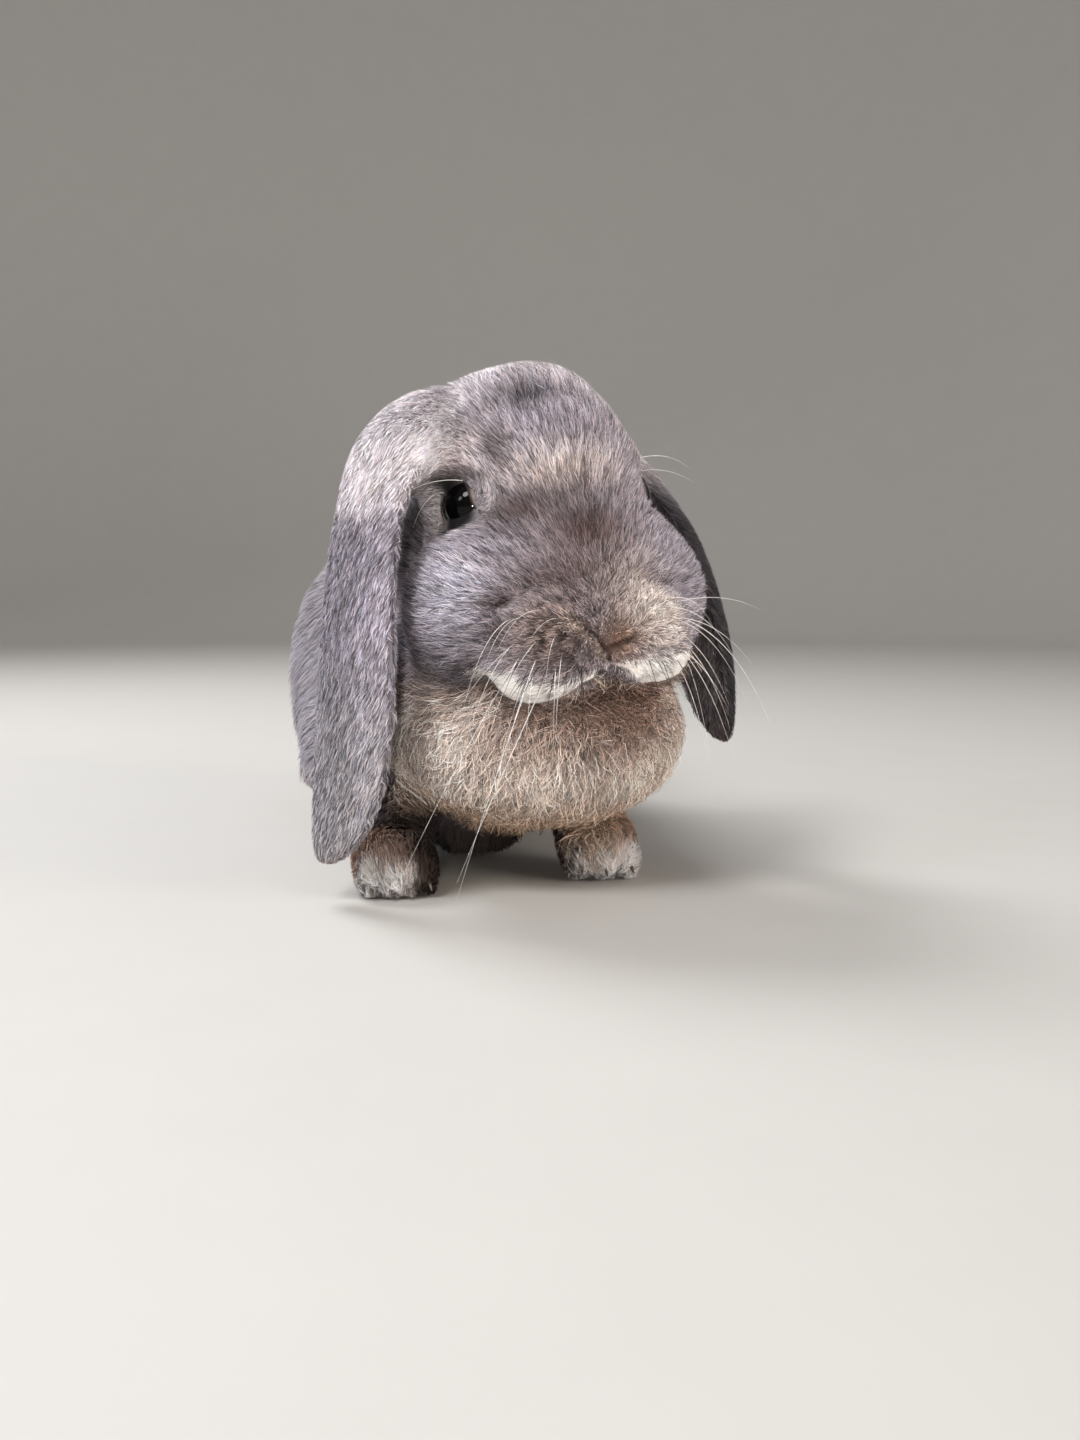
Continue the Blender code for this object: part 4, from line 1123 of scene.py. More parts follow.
def tuftBlades(spine, normals, width, twist, segments):
    # two points at each station, half the width to each side of the spine, and one at the tip
    along = unit(np.gradient(spine, axis=1))
    across = unit(np.cross(along, normals))
    turn = twist[:, None, None]
    across = np.cos(turn) * across + np.sin(turn) * np.cross(along, across)
    half = across * (width[:, None] / 2 * np.array(tuftHabits["taper"][segments]))[..., None]
    body = np.stack([spine[:, :-1] - half[:, :-1], spine[:, :-1] + half[:, :-1]], axis=2)
    points = np.concatenate([body.reshape(len(spine), -1, 3), spine[:, -1:]], axis=1)
    points = outsideEyes(points)
    points[..., 2] = np.maximum(points[..., 2], tuftHabits["floor"])
    return points


def tuftFaces(count, segments):
    # two triangles between stations and one at the tip, the same for every tuft
    pattern = []
    for k in range(0, 2 * segments - 2, 2):
        pattern += [(k, k + 1, k + 3), (k, k + 3, k + 2)]
    last = 2 * segments - 2
    pattern.append((last, last + 1, last + 2))
    return (np.arange(count) * (2 * segments + 1))[:, None, None] + np.array(pattern)[None]


def tuftColours(skin, at, kind, station):
    # the marking, times the tuft's own tone, times a shade that runs from its dark root to its tip
    habits = tuftHabits
    root, way, own = at(skin["points"]), unit(at(skin["lie"])), at(skin["colour"])
    count = len(root)
    tick = ticking[kind] * (1 + 0.5 * spot(toHead(root), padTicking["middle"], padTicking["radii"]))
    # streaks along the lie: noise that is drawn out by taking most of the way along it out of the place
    drawn = root - headMiddle
    drawn = drawn - habits["drawn"] * way * np.sum(drawn * way, axis=1, keepdims=True)
    size, seed, number, share = habits["streaks"]
    tone = np.exp(tick * (habits["tone"] * rng.normal(size=count) + share * waves(drawn, size, seed, number)))
    more, least, black = habits["blackTips"]
    dark = rng.random(count) < more * np.maximum(tick - least, 0)
    tone = np.minimum(np.where(dark, tone * black, tone), habits["brightest"])
    pale = ramp(own.mean(axis=1), *habits["white"])
    tone = tone * (1 - pale) + pale * np.clip(tone, *habits["whiteTone"])  # white hair is even
    warm = 1 + habits["warmth"] * rng.normal(size=count)
    marking = own * tone[:, None] * np.stack([warm, np.ones_like(warm), 2 - warm], axis=1)
    fade = np.interp(station, [0, 0.5, 1], shades[kind])[None] * (1 - pale[:, None])
    fade = fade + pale[:, None] * np.interp(station, [0, 1], habits["whiteFade"])[None]
    return np.clip(marking[:, None] * fade[:, :, None], 0.004, 0.96)


def grownTufts(skin, picked, kind, segments, grid):
    # picked: for each root a triangle of the skin and the shares of its corners there
    tri, share = picked
    corners = skin["triangles"][tri]

    def at(values):  # the corners' values, mixed by their shares
        return np.einsum("nk,nk...->n...", share, values[corners])

    station = np.repeat(np.linspace(0, 1, segments + 1)[:-1], 2).tolist() + [1.0]
    spine, normals, width, twist = tuftSpines(skin, at, segments, grid, clumps[kind])
    points = tuftBlades(spine, normals, width, twist, segments)
    colours = tuftColours(skin, at, kind, station)
    # the bake's map: a small patch at the root's place on the skin's own unwrap
    uv = np.einsum("nk,nkc->nc", share, skin["uv"][tri])
    across, long = tuftHabits["patch"]
    side = np.tile([-across / 2, across / 2], segments).tolist() + [0.0]
    patch = np.stack([np.array(side), (np.array(station) - 0.5) * long], axis=1)
    return points, tuftFaces(len(points), segments), colours, uv[:, None] + patch[None]


def tuftPiece(name, made, material):  # the tufts as one mesh, with colours and the bake's map
    points, faces, colours, uvs = made
    flatFaces = faces.reshape(-1, 3)
    piece = newPiece(name, points.reshape(-1, 3), flatFaces, material)
    paint(piece, "coat", colours.reshape(-1, 3))
    layer = piece.data.uv_layers.new(name="OFBake")
    layer.data.foreach_set("uv", uvs.reshape(-1, 2)[flatFaces.ravel()].astype(np.float32).ravel())
    print("coat", name, len(points), "tufts,", len(flatFaces), "triangles")
    return piece


def tuftWeights(skin, tri):  # area times density: how many tufts each triangle asks for
    return skin["areas"][tri] * skin["density"][skin["triangles"][tri]].mean(axis=1)


def pickRoots(skin, mask, count):
    # triangles are drawn by their weights, and places in them evenly: a point of the unit square,
    # folded over where it lies past the diagonal
    tri = np.flatnonzero(mask)
    weight = tuftWeights(skin, tri)
    drawn = rng.choice(tri, size=count, p=weight / weight.sum())
    a, b = rng.random((2, count))
    over = a + b > 1
    a, b = np.where(over, 1 - a, a), np.where(over, 1 - b, b)
    return drawn, np.stack([1 - a - b, a, b], axis=1)


def expected(skin, mask):  # how many tufts the densities ask for there, from square metres
    return int(tuftWeights(skin, np.flatnonzero(mask)).sum() * 1e6)


unwrapSizes = {"angle": 70, "margin": 0.003}


def unwrap(piece):  # the skin's own map for the bake, in islands that turn by less than the angle
    bpy.ops.object.select_all(action="DESELECT")
    bpy.context.view_layer.objects.active = piece
    piece.select_set(True)
    piece.data.uv_layers.new(name="OFBake")
    bpy.ops.object.mode_set(mode="EDIT")
    bpy.ops.mesh.select_all(action="SELECT")
    bpy.ops.uv.smart_project(
        angle_limit=math.radians(unwrapSizes["angle"]), island_margin=unwrapSizes["margin"])
    bpy.ops.object.mode_set(mode="OBJECT")
    piece.select_set(False)


def skinData(piece, fields, lie, colour, nodes):
    # what the tufts ask of the skin: values at its points, and its triangles with their areas and map
    mesh = piece.data
    mesh.update()
    points, normals, edges = meshArrays(mesh)
    mesh.calc_loop_triangles()
    count = len(mesh.loop_triangles)
    triangles = np.empty(count * 3, np.int32)
    mesh.loop_triangles.foreach_get("vertices", triangles)
    loops = np.empty(count * 3, np.int32)
    mesh.loop_triangles.foreach_get("loops", loops)
    uv = np.empty(len(mesh.loops) * 2, np.float32)
    mesh.uv_layers["OFBake"].data.foreach_get("uv", uv)
    triangles = triangles.reshape(-1, 3)
    a, b, c = (points[triangles[:, k]] for k in range(3))
    data = dict(fields)
    data.update(
        points=points, normals=unit(averaged(normals, edges, 1, keep=0.5)), lie=lie, colour=colour,
        triangles=triangles, uv=uv.reshape(-1, 2)[loops].reshape(-1, 3, 2),
        areas=np.linalg.norm(np.cross(b - a, c - a), axis=1) / 2, nodes=nodes,
    )
    return data


def makeSkin(material):
    # coat values, lie and markings are found on the coat's outline, and the form is then drawn in
    piece, samples, owners = bareSkin()
    points, normals, edges = meshArrays(piece.data)
    nodes, kinds, fields = regionValues(points, samples, owners, edges)
    faceThinning(points, fields, kinds)
    points = averaged(points, edges, 2, keep=0.5)
    lie = lieOf(points, normals, nodes, kinds, edges)
    colour = markings(points, normals, nodes, kinds, edges)
    points = sculpted(points, normals, nodes, kinds, edges)
    inner = drawIn(points, normals, edges, fields)
    piece.data.vertices.foreach_set("co", inner.astype(np.float32).ravel())
    piece.data.update()
    unwrap(piece)
    piece.data.materials.append(material)
    piece.data.polygons.foreach_set("use_smooth", np.full(len(piece.data.polygons), True))
    # the skin is darker than the coat, but not where the hair is white
    paint(piece, "coat", colour * np.interp(colour.mean(axis=1), skinLook["from"], skinLook["to"])[:, None])
    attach(piece, "root")
    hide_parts(*[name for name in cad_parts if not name.startswith("eye")])
    data = skinData(piece, fields, lie, colour, nodes)
    print("skin", len(points), "points,", len(data["triangles"]), "triangles")
    return data


# pieces of the coat: the nodes whose skin they grow on, how many steps a tuft takes, the axis along
# which a large one is cut into pieces, and the share of the density that it gets
coatPieces = {
    "headCoat": dict(nodes=["head"], kind="head", segments=2, axis=1, share=1.0),
    "ruffCoat": dict(nodes=["ruff"], kind="ruff", segments=3, axis=0, share=1.0),
    "earCoatRight": dict(nodes=["ear_right"], kind="ear", segments=2, axis=2, share=1.0),
    "earCoatLeft": dict(nodes=["ear_left"], kind="ear", segments=2, axis=2, share=0.7),
    "neckCoat": dict(nodes=["neck"], kind="neck", segments=2, axis=1, share=1.0),
    "trunkCoat": dict(nodes=["trunk"], kind="trunk", segments=2, axis=1, share=1.0),
    "tailCoat": dict(nodes=["tail"], kind="tail", segments=2, axis=1, share=1.0),
    "forelegCoat": dict(nodes=["foreleg_left", "foreleg_right"], kind="foreleg",
                        segments=2, axis=1, share=1.0),
    "forepawCoat": dict(nodes=["forepaw_left", "forepaw_right"], kind="forepaw",
                        segments=2, axis=1, share=1.0),
    "hindLegCoat": dict(nodes=["hind_leg_left", "hind_leg_right"], kind="hind_leg",
                        segments=2, axis=1, share=1.0),
    "hindFootCoat": dict(nodes=["hind_foot_left", "hind_foot_right"], kind="hind_foot",
                         segments=2, axis=1, share=1.0),
}
coatLimits = {
    "triangles": 180000,  # the most in one piece of the coat
    "floor": 0.0010, "lid": 1.06,  # nothing grows lower, or nearer to an eye's opening
    "cell": 0.002, "earCell": 0.0011,  # of the grids that find the nearest skin
}


def dressSkin(skin, material):
    # each piece of coat is cut, where it would be too large, into parts of equal weight along its axis
    grids = {}
    ears = ("ear_left", "ear_right")
    members = {name: np.flatnonzero(skin["nodes"] == name) for name in ears}
    members["rest"] = np.flatnonzero(~np.isin(skin["nodes"], ears))
    for name, numbers in members.items():
        cell = coatLimits["cell" if name == "rest" else "earCell"]
        grids[name] = nearestGrid(skin["points"][numbers], cell)
        grids[name]["index"] = numbers[grids[name]["index"]]
    nodeOfTriangle = skin["nodes"][skin["triangles"][:, 0]]
    middles = skin["points"][skin["triangles"]].mean(axis=1)
    clear = (middles[:, 2] > coatLimits["floor"]) & (lidMeasure(middles) > coatLimits["lid"])
    total = 0
    for name, made in coatPieces.items():
        mask = np.isin(nodeOfTriangle, made["nodes"]) & clear
        place = middles[:, made["axis"]]
        each = 2 * made["segments"] - 1
        pieces = int(np.ceil(expected(skin, mask) * made["share"] * each / coatLimits["triangles"]))
        weight = tuftWeights(skin, np.flatnonzero(mask))
        order = np.argsort(place[mask])
        along = np.cumsum(weight[order]) / weight.sum()
        cuts = np.interp(np.linspace(0, 1, pieces + 1), along, place[mask][order])
        cuts[0], cuts[-1] = -9, 9
        grid = grids.get(made["nodes"][0], grids["rest"])
        for k in range(pieces):
            part = mask & (place >= cuts[k]) & (place < cuts[k + 1])
            count = int(expected(skin, part) * made["share"])
            tufts = grownTufts(skin, pickRoots(skin, part, count), made["kind"], made["segments"], grid)
            label = name + (str(k + 1) if pieces > 1 else "")
            tuftPiece(label, tufts, material)
            total += count * each
    print("coat in all:", total, "triangles")


# eyes and lids

def makeEye(side, material):
    # a ball of rings about the way it looks, at even angles from it: each point lies at the radius times
    # 1 + height * exp(-(angle / width)^2), so that the cornea swells
    out, up, front = eyeAxes(side)
    rings, sides = eyeShape["rings"], eyeShape["sides"]
    polar = np.linspace(0.001, math.pi - 0.001, rings)[:, None]
    turn = np.linspace(0, 2 * math.pi, sides, endpoint=False)[None]
    height, width = eyeShape["cornea"]
    swell = eyeShape["radius"] * (1 + height * np.exp(-(polar / width) ** 2))
    ring = np.cos(turn)[..., None] * front + np.sin(turn)[..., None] * up
    points = np.cos(polar)[..., None] * out + np.sin(polar)[..., None] * ring
    points = eyeMiddles[side] + points * swell[..., None]
    faces = gridFaces(rings, sides)
    if np.dot(np.cross(front, up), out) > 0:
        faces = faces[:, ::-1]
    piece = newPiece("eyeball" + side.capitalize(), points.reshape(-1, 3), faces, material)
    paint(piece, "iris", eyeColours(polar, turn).reshape(-1, 3))
    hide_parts("eye_" + side)
    print("eye", side, len(faces), "faces")


def eyeColours(polar, turn):
    # the pupil, the streaked iris and the dark rim, by the distance from the line of sight
    shape = (polar.shape[0], turn.shape[1])
    away = np.broadcast_to(np.sin(np.minimum(polar, math.pi / 2)) * eyeShape["radius"], shape)
    strength, few, many = eyeShape["fibres"]
    fibres = 1 + strength * np.sin(turn * few) * np.sin(turn * many + 1)
    iris = np.array(eyeShape["irisTone"]) * np.broadcast_to(fibres, shape)[..., None]
    pupil = np.full((*shape, 3), eyeShape["pupilTone"])
    rim = np.full((*shape, 3), eyeShape["rimTone"])
    inner, outer = (eyeShape[part] + np.array(eyeShape[part + "Edge"]) for part in ("pupil", "iris"))
    return mixed(mixed(pupil, iris, ramp(away, *inner)), rim, ramp(away, *outer))


lidShape = {
    "sides": 72,
    # each ring's place across the opening, from its wet edge outwards, and its height off the ball
    "across": (0.985, 1.0, 1.025, 1.05, 1.09, 1.16, 1.30, 1.50, 1.75),
    "lift": (-0.0004, 0.0002, 0.0006, 0.0007, 0.0006, 0.0005, 0.0003, 0.0000, -0.0014),
    "upperLift": 0.0002, "edge": (1.06, 1.20), "front": 0.45, "most": 0.985,
    "above": (-0.1, 0.6), "ahead": (-0.4, 0.3),  # the lid darkens over these: upwards and forwards
}


def makeLids(side, material):
    # rings round the opening: each point lies off the ball by a height that rises from the wet edge
    # to the lid's rim, and falls again outwards, under the coat
    out, up, front = eyeAxes(side)
    turn = np.linspace(0, 2 * math.pi, lidShape["sides"], endpoint=False)
    across, lift = np.array(lidShape["across"])[:, None], np.array(lidShape["lift"])[:, None]
    halfWide, halfHigh = eyeShape["opening"]
    flatX = across * halfWide * lidReach(turn) * np.cos(turn)
    flatZ = across * halfHigh * lidReach(turn) * np.sin(turn)
    radius = eyeShape["radius"]
    away = np.minimum(np.hypot(flatX, flatZ), radius * lidShape["most"])
    height = np.sqrt(radius ** 2 - away ** 2) + lift + lidShape["upperLift"] * np.sin(turn)
    points = eyeMiddles[side] + flatX[..., None] * front + flatZ[..., None] * up + height[..., None] * out
    faces = gridFaces(len(across), lidShape["sides"])
    if np.dot(np.cross(front, up), out) < 0:
        faces = faces[:, ::-1]
    piece = newPiece("lids" + side.capitalize(), points.reshape(-1, 3), faces, material)
    # the wet edge is dark; the lid is pale below and behind, painted shade above and half of it in front
    ahead = lidShape["front"] * ramp(np.cos(turn), *lidShape["ahead"])
    dark = np.maximum(ramp(np.sin(turn), *lidShape["above"]), ahead)
    lid = mixed(tones["lidPale"], tones["lidShade"], np.broadcast_to(dark, flatX.shape))
    edge = np.broadcast_to(ramp(across, *lidShape["edge"]), flatX.shape)
    paint(piece, "coat", mixed(tones["eyeRim"], lid, edge).reshape(-1, 3))
    print("lids", side, len(faces), "faces")


# whiskers: tapered tubes along bent lines

whiskers = {
    "sides": 5, "stations": 20, "root": 0.00012, "perPad": 12, "rows": 4,
    "length": {"right": (0.012, 0.030), "left": (0.018, 0.034)},
    "reach": (0.004, 0.010, 0.002),  # how far a whisker may pass the solids' sides
    "dark": 18, "darkRoot": 0.00012, "darkLength": (0.011, 0.021),  # short dark ones over each lip
    "floor": 0.001, "tip": 0.10,  # tip: a whisker's thickness there, as a share of its root's
    "thickness": (0.8, 1.25), "shortest": 0.3, "bend": 0.25,  # shares: of radius, length and sag
    # for the left side, on the head's axes: the first one, and what each column and row add
    "padPlaces": ((0.34, -1.02, -0.62), (0.09, 0.07, 0.0), (0.02, 0.0, -0.10)),
    "padWays": ((0.80, -0.55, -0.05), (0.0, 0.20, 0.0), (-0.14, 0.0, -0.30)),
    "lipPlaces": ((0.22, -1.02, -0.86), (0.40, 0.16, 0.0), (0.0, 0.0, -0.05)),
    "lipWays": ((0.20, -0.35, -0.90), (0.95, 0.0, 0.0), (0.0, 0.0, 0.0)),
    "padShift": (-0.05, 0, 0), "lipShift": (-0.04, 0, 0),  # both sides move to the right by these
    "padStray": (0.014, 0.10), "lipStray": (0.03, 0.10),  # of the places and of the ways
    "padSag": (0.25, 0.75), "lipSag": (0.1, 0.4), "padLift": 0.3, "lipLift": 0.25,
    "mostlyShort": 1.5,  # the power that draws the pads' lengths to the short end
    "look": dict(name="whiskerHair", colour=(0.80, 0.77, 0.74), roughness=0.35, specular=0.5),
    "darkLook": dict(name="darkHair", colour=(0.030, 0.022, 0.020), roughness=0.45, specular=0.3),
}
# long ones, in head units: root, the way they start, length in metres and how far they sag
longWhiskers = [
    dict(root=(-0.62, -0.86, -0.86), way=(-0.62, -0.10, -0.70), length=0.066, sag=0.12),
    dict(root=(-0.50, -0.94, -0.90), way=(-0.48, -0.14, -0.80), length=0.064, sag=0.10),
    dict(root=(-0.44, -0.96, -0.90), way=(-0.55, -0.10, -0.79), length=0.060, sag=0.06),
    dict(root=(-0.66, -0.80, -0.78), way=(-0.80, -0.45, -0.40), length=0.034, sag=0.60),
    dict(root=(-0.64, -0.82, -0.66), way=(-0.88, -0.40, -0.15), length=0.028, sag=0.80),
    dict(root=(-0.62, -0.26, 0.20), way=(-0.97, -0.26, 0.12), length=0.025, sag=0.28),
    dict(root=(-0.62, -0.22, 0.26), way=(-0.93, -0.26, 0.30), length=0.028, sag=0.42),
    dict(root=(-0.68, -0.16, 0.12), way=(-0.95, -0.24, 0.05), length=0.0135, sag=0.75),
    dict(root=(0.62, -0.26, 0.20), way=(0.96, -0.20, 0.15), length=0.022, sag=0.35),
    dict(root=(0.62, -0.22, 0.26), way=(0.93, -0.15, 0.32), length=0.024, sag=0.42),
]


def tubes(name, lines, radii, material):
    # lines: for each tube a row of points; radii: a radius at each. Round every point stands a ring:
    # radius * (cos(turn) * aside + sin(turn) * above).
    count, stations = lines.shape[:2]
    ahead = unit(np.gradient(lines, axis=1))
    aside = unit(np.cross(ahead, np.broadcast_to([0.31, 0.42, 0.85], ahead.shape)))
    above = np.cross(ahead, aside)
    turn = np.linspace(0, 2 * math.pi, whiskers["sides"], endpoint=False)
    ring = (np.cos(turn)[:, None] * aside[:, :, None] + np.sin(turn)[:, None] * above[:, :, None])
    points = lines[:, :, None] + ring * radii[..., None, None]
    quads = gridFaces(stations, whiskers["sides"])
    faces = (np.arange(count) * stations * whiskers["sides"])[:, None, None] + quads[None]
    newPiece(name, points.reshape(-1, 3), faces.reshape(-1, 4), material)


def whiskerLines(roots, ways, lengths, sag):
    # each starts along its way and hangs by sag * length * t^2, where t is the way along it
    t = np.linspace(0, 1, whiskers["stations"])[None, :, None]
    long, sag = lengths[:, None, None], sag[:, None, None]
    drop = np.array([0, 0, -1.0]) * sag * long * t ** 2
    return roots[:, None] + ways[:, None] * long * (t - whiskers["bend"] * sag * t ** 2) + drop


def fanned(sign, column, row, first, perColumn, perRow):  # first + column * perColumn + row * perRow
    made = np.array(first) + column[:, None] * np.array(perColumn) + row[:, None] * np.array(perRow)
    return made * [sign, 1, 1]


def padWhiskers(sign, side, grid, skin):
    # rows on the pad, one above another: the upper ones stand outwards, the lower ones hang
    count = whiskers["perPad"]
    row = np.arange(count) % whiskers["rows"]
    column = np.arange(count) // whiskers["rows"]
    placeStray, wayStray = whiskers["padStray"]
    h = fanned(sign, column, row, *whiskers["padPlaces"]) + whiskers["padShift"]
    place = nearest(grid, fromHead(h + rng.normal(0, placeStray, (count, 3))))
    ways = fanned(sign, column, row, *whiskers["padWays"]) + rng.normal(0, wayStray, (count, 3))
    low, high = whiskers["length"][side]
    lengths = low + (high - low) * rng.random(count) ** whiskers["mostlyShort"]
    ways = unit(unit(ways) @ headTurn + whiskers["padLift"] * skin["normals"][place])
    return skin["points"][place], ways, lengths, rng.uniform(*whiskers["padSag"], count)


def darkWhiskers(sign, grid, skin):
    # fine ones that hang over the lips from the low edge of a pad
    count = whiskers["dark"]
    placeStray, wayStray = whiskers["lipStray"]
    across = np.linspace(0, 1, count) + rng.normal(0, placeStray, count)
    lower = rng.random(count)
    h = fanned(sign, across, lower, *whiskers["lipPlaces"]) + whiskers["lipShift"]
    place = nearest(grid, fromHead(h))
    ways = fanned(sign, across, lower, *whiskers["lipWays"]) + rng.normal(0, wayStray, (count, 3))
    lengths = rng.uniform(*whiskers["darkLength"], count)
    ways = unit(unit(ways) @ headTurn + whiskers["lipLift"] * skin["normals"][place])
    return skin["points"][place], ways, lengths, rng.uniform(*whiskers["lipSag"], count)


def longOnes(grid, skin):  # the listed ones, each rooted on the skin nearest to its place
    root, way, length, sag = (
        np.array([one[key] for one in longWhiskers]) for key in ("root", "way", "length", "sag")
    )
    return skin["points"][nearest(grid, fromHead(root))], unit(way) @ headTurn, length, sag


def makeWhiskers(name, sets, radius, material):
    # sets: roots, ways, lengths and sags, joined here; each whisker tapers evenly to its tip
    roots, ways, lengths, sags = (np.concatenate(each) for each in zip(*sets))
    lines = whiskerLines(roots, ways, lengths, sags)
    # shortened where they would pass the solids' sides by more than the reach
    low, high = (np.array(corner) for corner in cadBounds)
    far = (np.maximum(lines - high, low - lines) - whiskers["reach"]).max(axis=(1, 2))
    share = np.clip(1 - far / lengths, whiskers["shortest"], 1)[:, None, None]
    lines = roots[:, None] + (lines - roots[:, None]) * share
    lines[..., 2] = np.maximum(lines[..., 2], whiskers["floor"])
    taper = np.linspace(1, whiskers["tip"], whiskers["stations"])
    radii = radius * taper[None] * rng.uniform(*whiskers["thickness"], (len(roots), 1))
    tubes(name, lines, radii, material)
    print(name, len(roots))


# claws: bent tubes that narrow to a point, one in front of each toe

claws = {
    "length": 0.0044, "root": 0.0009, "toes": 4, "stations": 9, "sunk": 0.0010, "drop": 0.0026,
    "height": {"forepaw": 0.0042, "hind_foot": 0.0048},  # of the roots, above the floor
    "across": 0.86, "floor": 0.0010,  # across: the share of a paw's width that its toes take
    "spread": 0.35, "lift": 0.3,  # how much they turn outwards, and out from the skin
    "look": dict(name="clawHorn", colour=(0.10, 0.075, 0.06), roughness=0.35, specular=0.5, coat=0.3),
}


def makeClaws(grid, skin, material):
    # each starts under the skin at the front of its toe and bends down by the square of the way along it
    lines = []
    t = np.linspace(0, 1, claws["stations"])[:, None]
    for kind, lift in claws["height"].items():
        for side in eyeMiddles:
            low, high = boxOf(kind + "_" + side)
            for k in range(claws["toes"]):
                offset = (k + 0.5) / claws["toes"] - 0.5
                middle = (low[0] + high[0]) / 2 + offset * (high[0] - low[0]) * claws["across"]
                place = nearest(grid, np.array([middle, low[1], lift]))
                root = skin["points"][place] - skin["normals"][place] * claws["sunk"]
                ahead = np.array([claws["spread"] * offset, -1.0, 0.0])
                way = unit(ahead + claws["lift"] * skin["normals"][place])
                drop = np.array([0, 0, -1]) * claws["drop"] * t ** 2
                lines.append(root + way * claws["length"] * t + drop)
    lines = np.array(lines)
    lines[..., 2] = np.maximum(lines[..., 2], claws["floor"])
    taper = np.sqrt(1 - np.linspace(0, 0.99, claws["stations"]) ** 1.5)
    radii = np.tile(claws["root"] * taper, (len(lines), 1))
    tubes("claws", lines, radii, material)
    print("claws", len(lines))


# floor, light and camera

stage = {
    "flat": 1.7, "curve": 0.8, "height": 2.6, "rings": 24, "sides": 96,
    "look": dict(name="paleFloor", colour=(0.61, 0.585, 0.55), roughness=0.6, specular=0.25,
                 scale=30, depth=0.0002, spread=0.02),
}


def makeFloor():
    # a floor that sweeps up into a round wall: a profile of (radius, height) turned about the upright axis
    bend = np.linspace(0, math.pi / 2, stage["rings"])
    curve = np.stack([np.sin(bend), 1 - np.cos(bend)], axis=1) * stage["curve"]
    curve = curve + [stage["flat"], 0]
    outer = stage["flat"] + stage["curve"]
    profile = np.vstack([[0.001, 0.0], [0.5, 0.0], curve, [outer, stage["height"]]])
    turn = np.linspace(0, 2 * math.pi, stage["sides"], endpoint=False)
    points = np.stack([
        profile[:, None, 0] * np.cos(turn), profile[:, None, 0] * np.sin(turn),
        np.broadcast_to(profile[:, None, 1], (len(profile), len(turn))),
    ], axis=2)
    mesh = bpy.data.meshes.new("floor")
    faces = gridFaces(len(profile), len(turn))[:, ::-1].tolist() + [list(range(len(turn)))]
    mesh.from_pydata(points.reshape(-1, 3).tolist(), [], faces)
    mesh.polygons.foreach_set("use_smooth", np.full(len(mesh.polygons), True))
    floor = bpy.data.objects.new("floor", mesh)
    bpy.context.scene.collection.objects.link(floor)
    mesh.materials.append(plainMaterial(**stage["look"]))
    print("floor", len(mesh.polygons), "faces")


view = {  # the camera, from the middle between the forepaws
    "place": (-0.0852, -0.4654, 0.0969), "yaw": math.radians(12), "dip": math.radians(5.45),
    "lens": 37.5, "sensor": 36.0, "nearest": 0.01,
}
lights = {  # place from the head, power, size, colour, and how wide it spreads in degrees
    "key": ((-0.80, -0.80, 1.05), 15.0, 0.50, (1.0, 0.99, 0.98), 180),
    "fill": ((1.10, -0.85, 0.30), 9.0, 0.80, (1.0, 0.93, 0.85), 180),
    "rim": ((-0.50, 0.75, 0.95), 13.5, 0.60, (0.95, 0.97, 1.0), 180),
    "window": ((-1.08, -0.57, 0.61), 3.0, 0.34, (0.72, 0.86, 1.0), 180),
    "front": ((-0.22, -0.95, -0.02), 0.100, 0.07, (1.0, 0.96, 0.93), 26),
}
surroundings = {"colour": (0.90, 0.93, 1.0, 1), "strength": 0.28}


def aim(thing, place, target):  # it stands at the place and looks along -Z at the target
    thing.location = place
    thing.rotation_euler = (Vector(target) - Vector(place)).to_track_quat("-Z", "Y").to_euler()


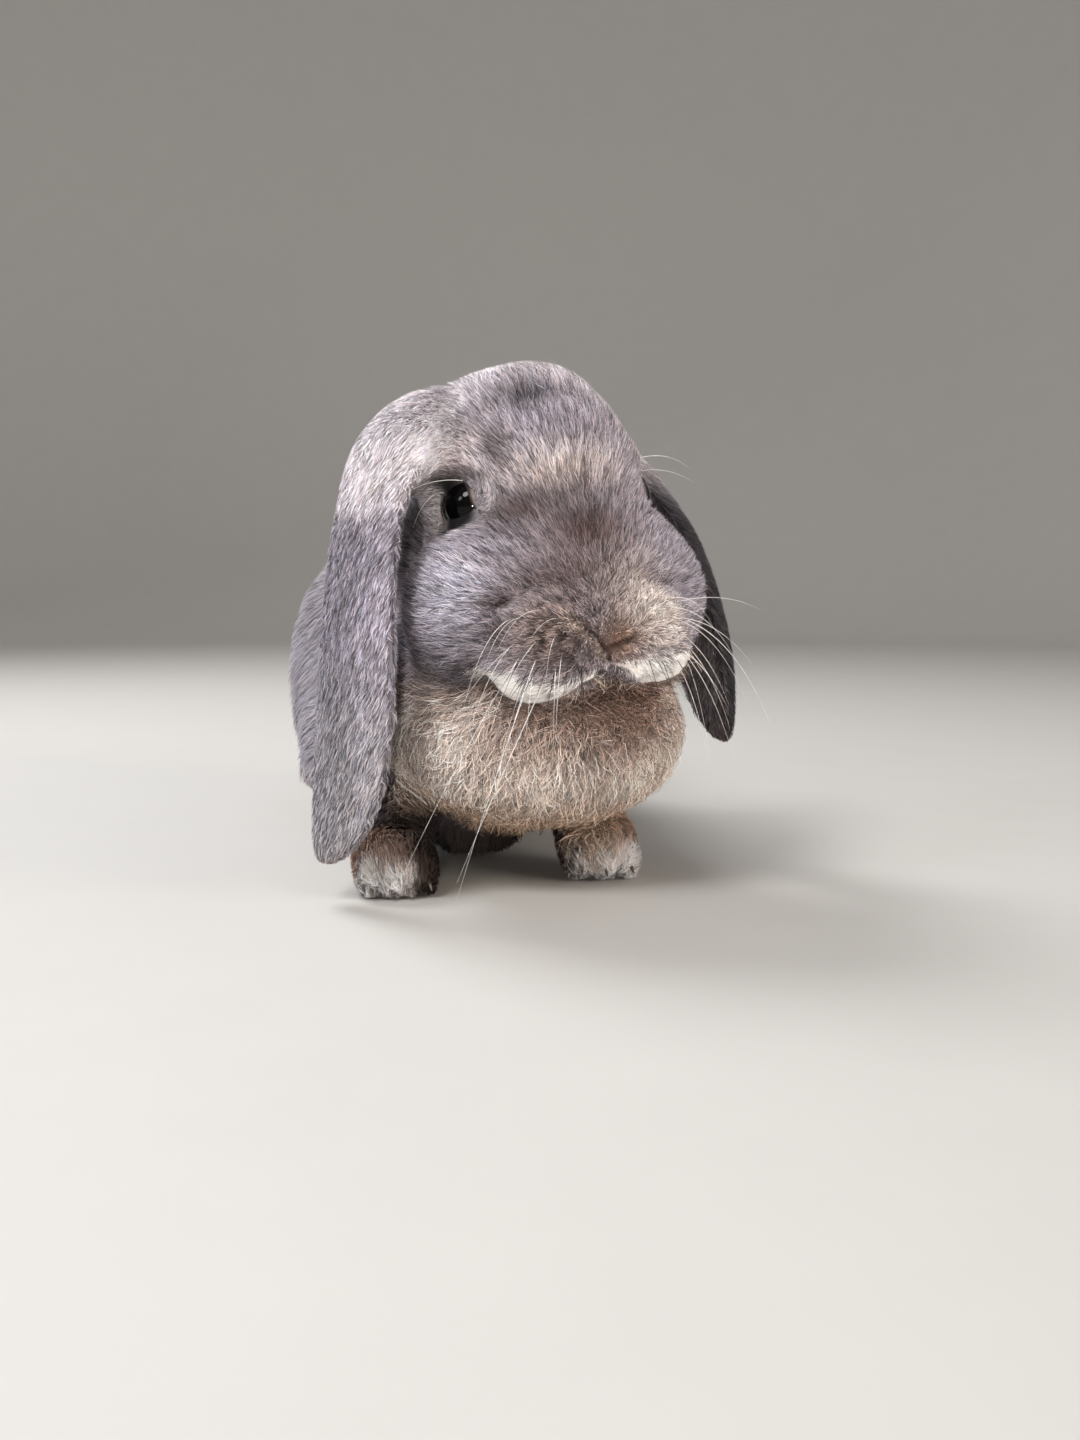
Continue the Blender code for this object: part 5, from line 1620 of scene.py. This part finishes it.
def makeLights():
    # round lamps aimed at the head, and an even light from all round
    for name, (place, power, size, colour, spread) in lights.items():
        lamp = bpy.data.lights.new(name, "AREA")
        lamp.shape = "DISK"
        lamp.energy, lamp.size, lamp.color, lamp.spread = power, size, colour, math.radians(spread)
        thing = bpy.data.objects.new(name, lamp)
        bpy.context.scene.collection.objects.link(thing)
        aim(thing, headMiddle + np.array(place), headMiddle)
        thing.visible_camera = False
    world = bpy.data.worlds.new("studio")
    world.use_nodes = True
    background = world.node_tree.nodes["Background"]
    background.inputs["Color"].default_value = surroundings["colour"]
    background.inputs["Strength"].default_value = surroundings["strength"]
    bpy.context.scene.world = world
    print("lamps", len(lights))


def makeCamera():
    # it looks along the yaw and dips by its angle: (sin yaw cos dip, cos yaw cos dip, -sin dip)
    lens = bpy.data.cameras.new("camera")
    lens.sensor_width, lens.lens = view["sensor"], view["lens"]
    lens.clip_start = view["nearest"]
    thing = bpy.data.objects.new("camera", lens)
    bpy.context.scene.collection.objects.link(thing)
    start = pawsMiddle + view["place"]
    yaw, dip = view["yaw"], view["dip"]
    ahead = [math.sin(yaw) * math.cos(dip), math.cos(yaw) * math.cos(dip), -math.sin(dip)]
    aim(thing, start, start + np.array(ahead))
    bpy.context.scene.camera = thing
    print("camera, lens", view["lens"])


bpy.context.scene.view_settings.view_transform = "Standard"
skinFacts = makeSkin(skinMaterial())
dressSkin(skinFacts, furMaterial())
eyeLook = eyeMaterial()
for word in eyeMiddles:
    makeEye(word, eyeLook)
    makeLids(word, skinMaterial())
skinGrid = nearestGrid(skinFacts["points"])
paleSets = [padWhiskers(-1, "right", skinGrid, skinFacts), padWhiskers(1, "left", skinGrid, skinFacts),
            longOnes(skinGrid, skinFacts)]
makeWhiskers("whiskers", paleSets, whiskers["root"], plainMaterial(**whiskers["look"]))
darkSets = [darkWhiskers(sign, skinGrid, skinFacts) for sign in (-1, 1)]
makeWhiskers("darkWhiskers", darkSets, whiskers["darkRoot"], plainMaterial(**whiskers["darkLook"]))
makeClaws(skinGrid, skinFacts, plainMaterial(**claws["look"]))
makeFloor()
makeLights()
makeCamera()
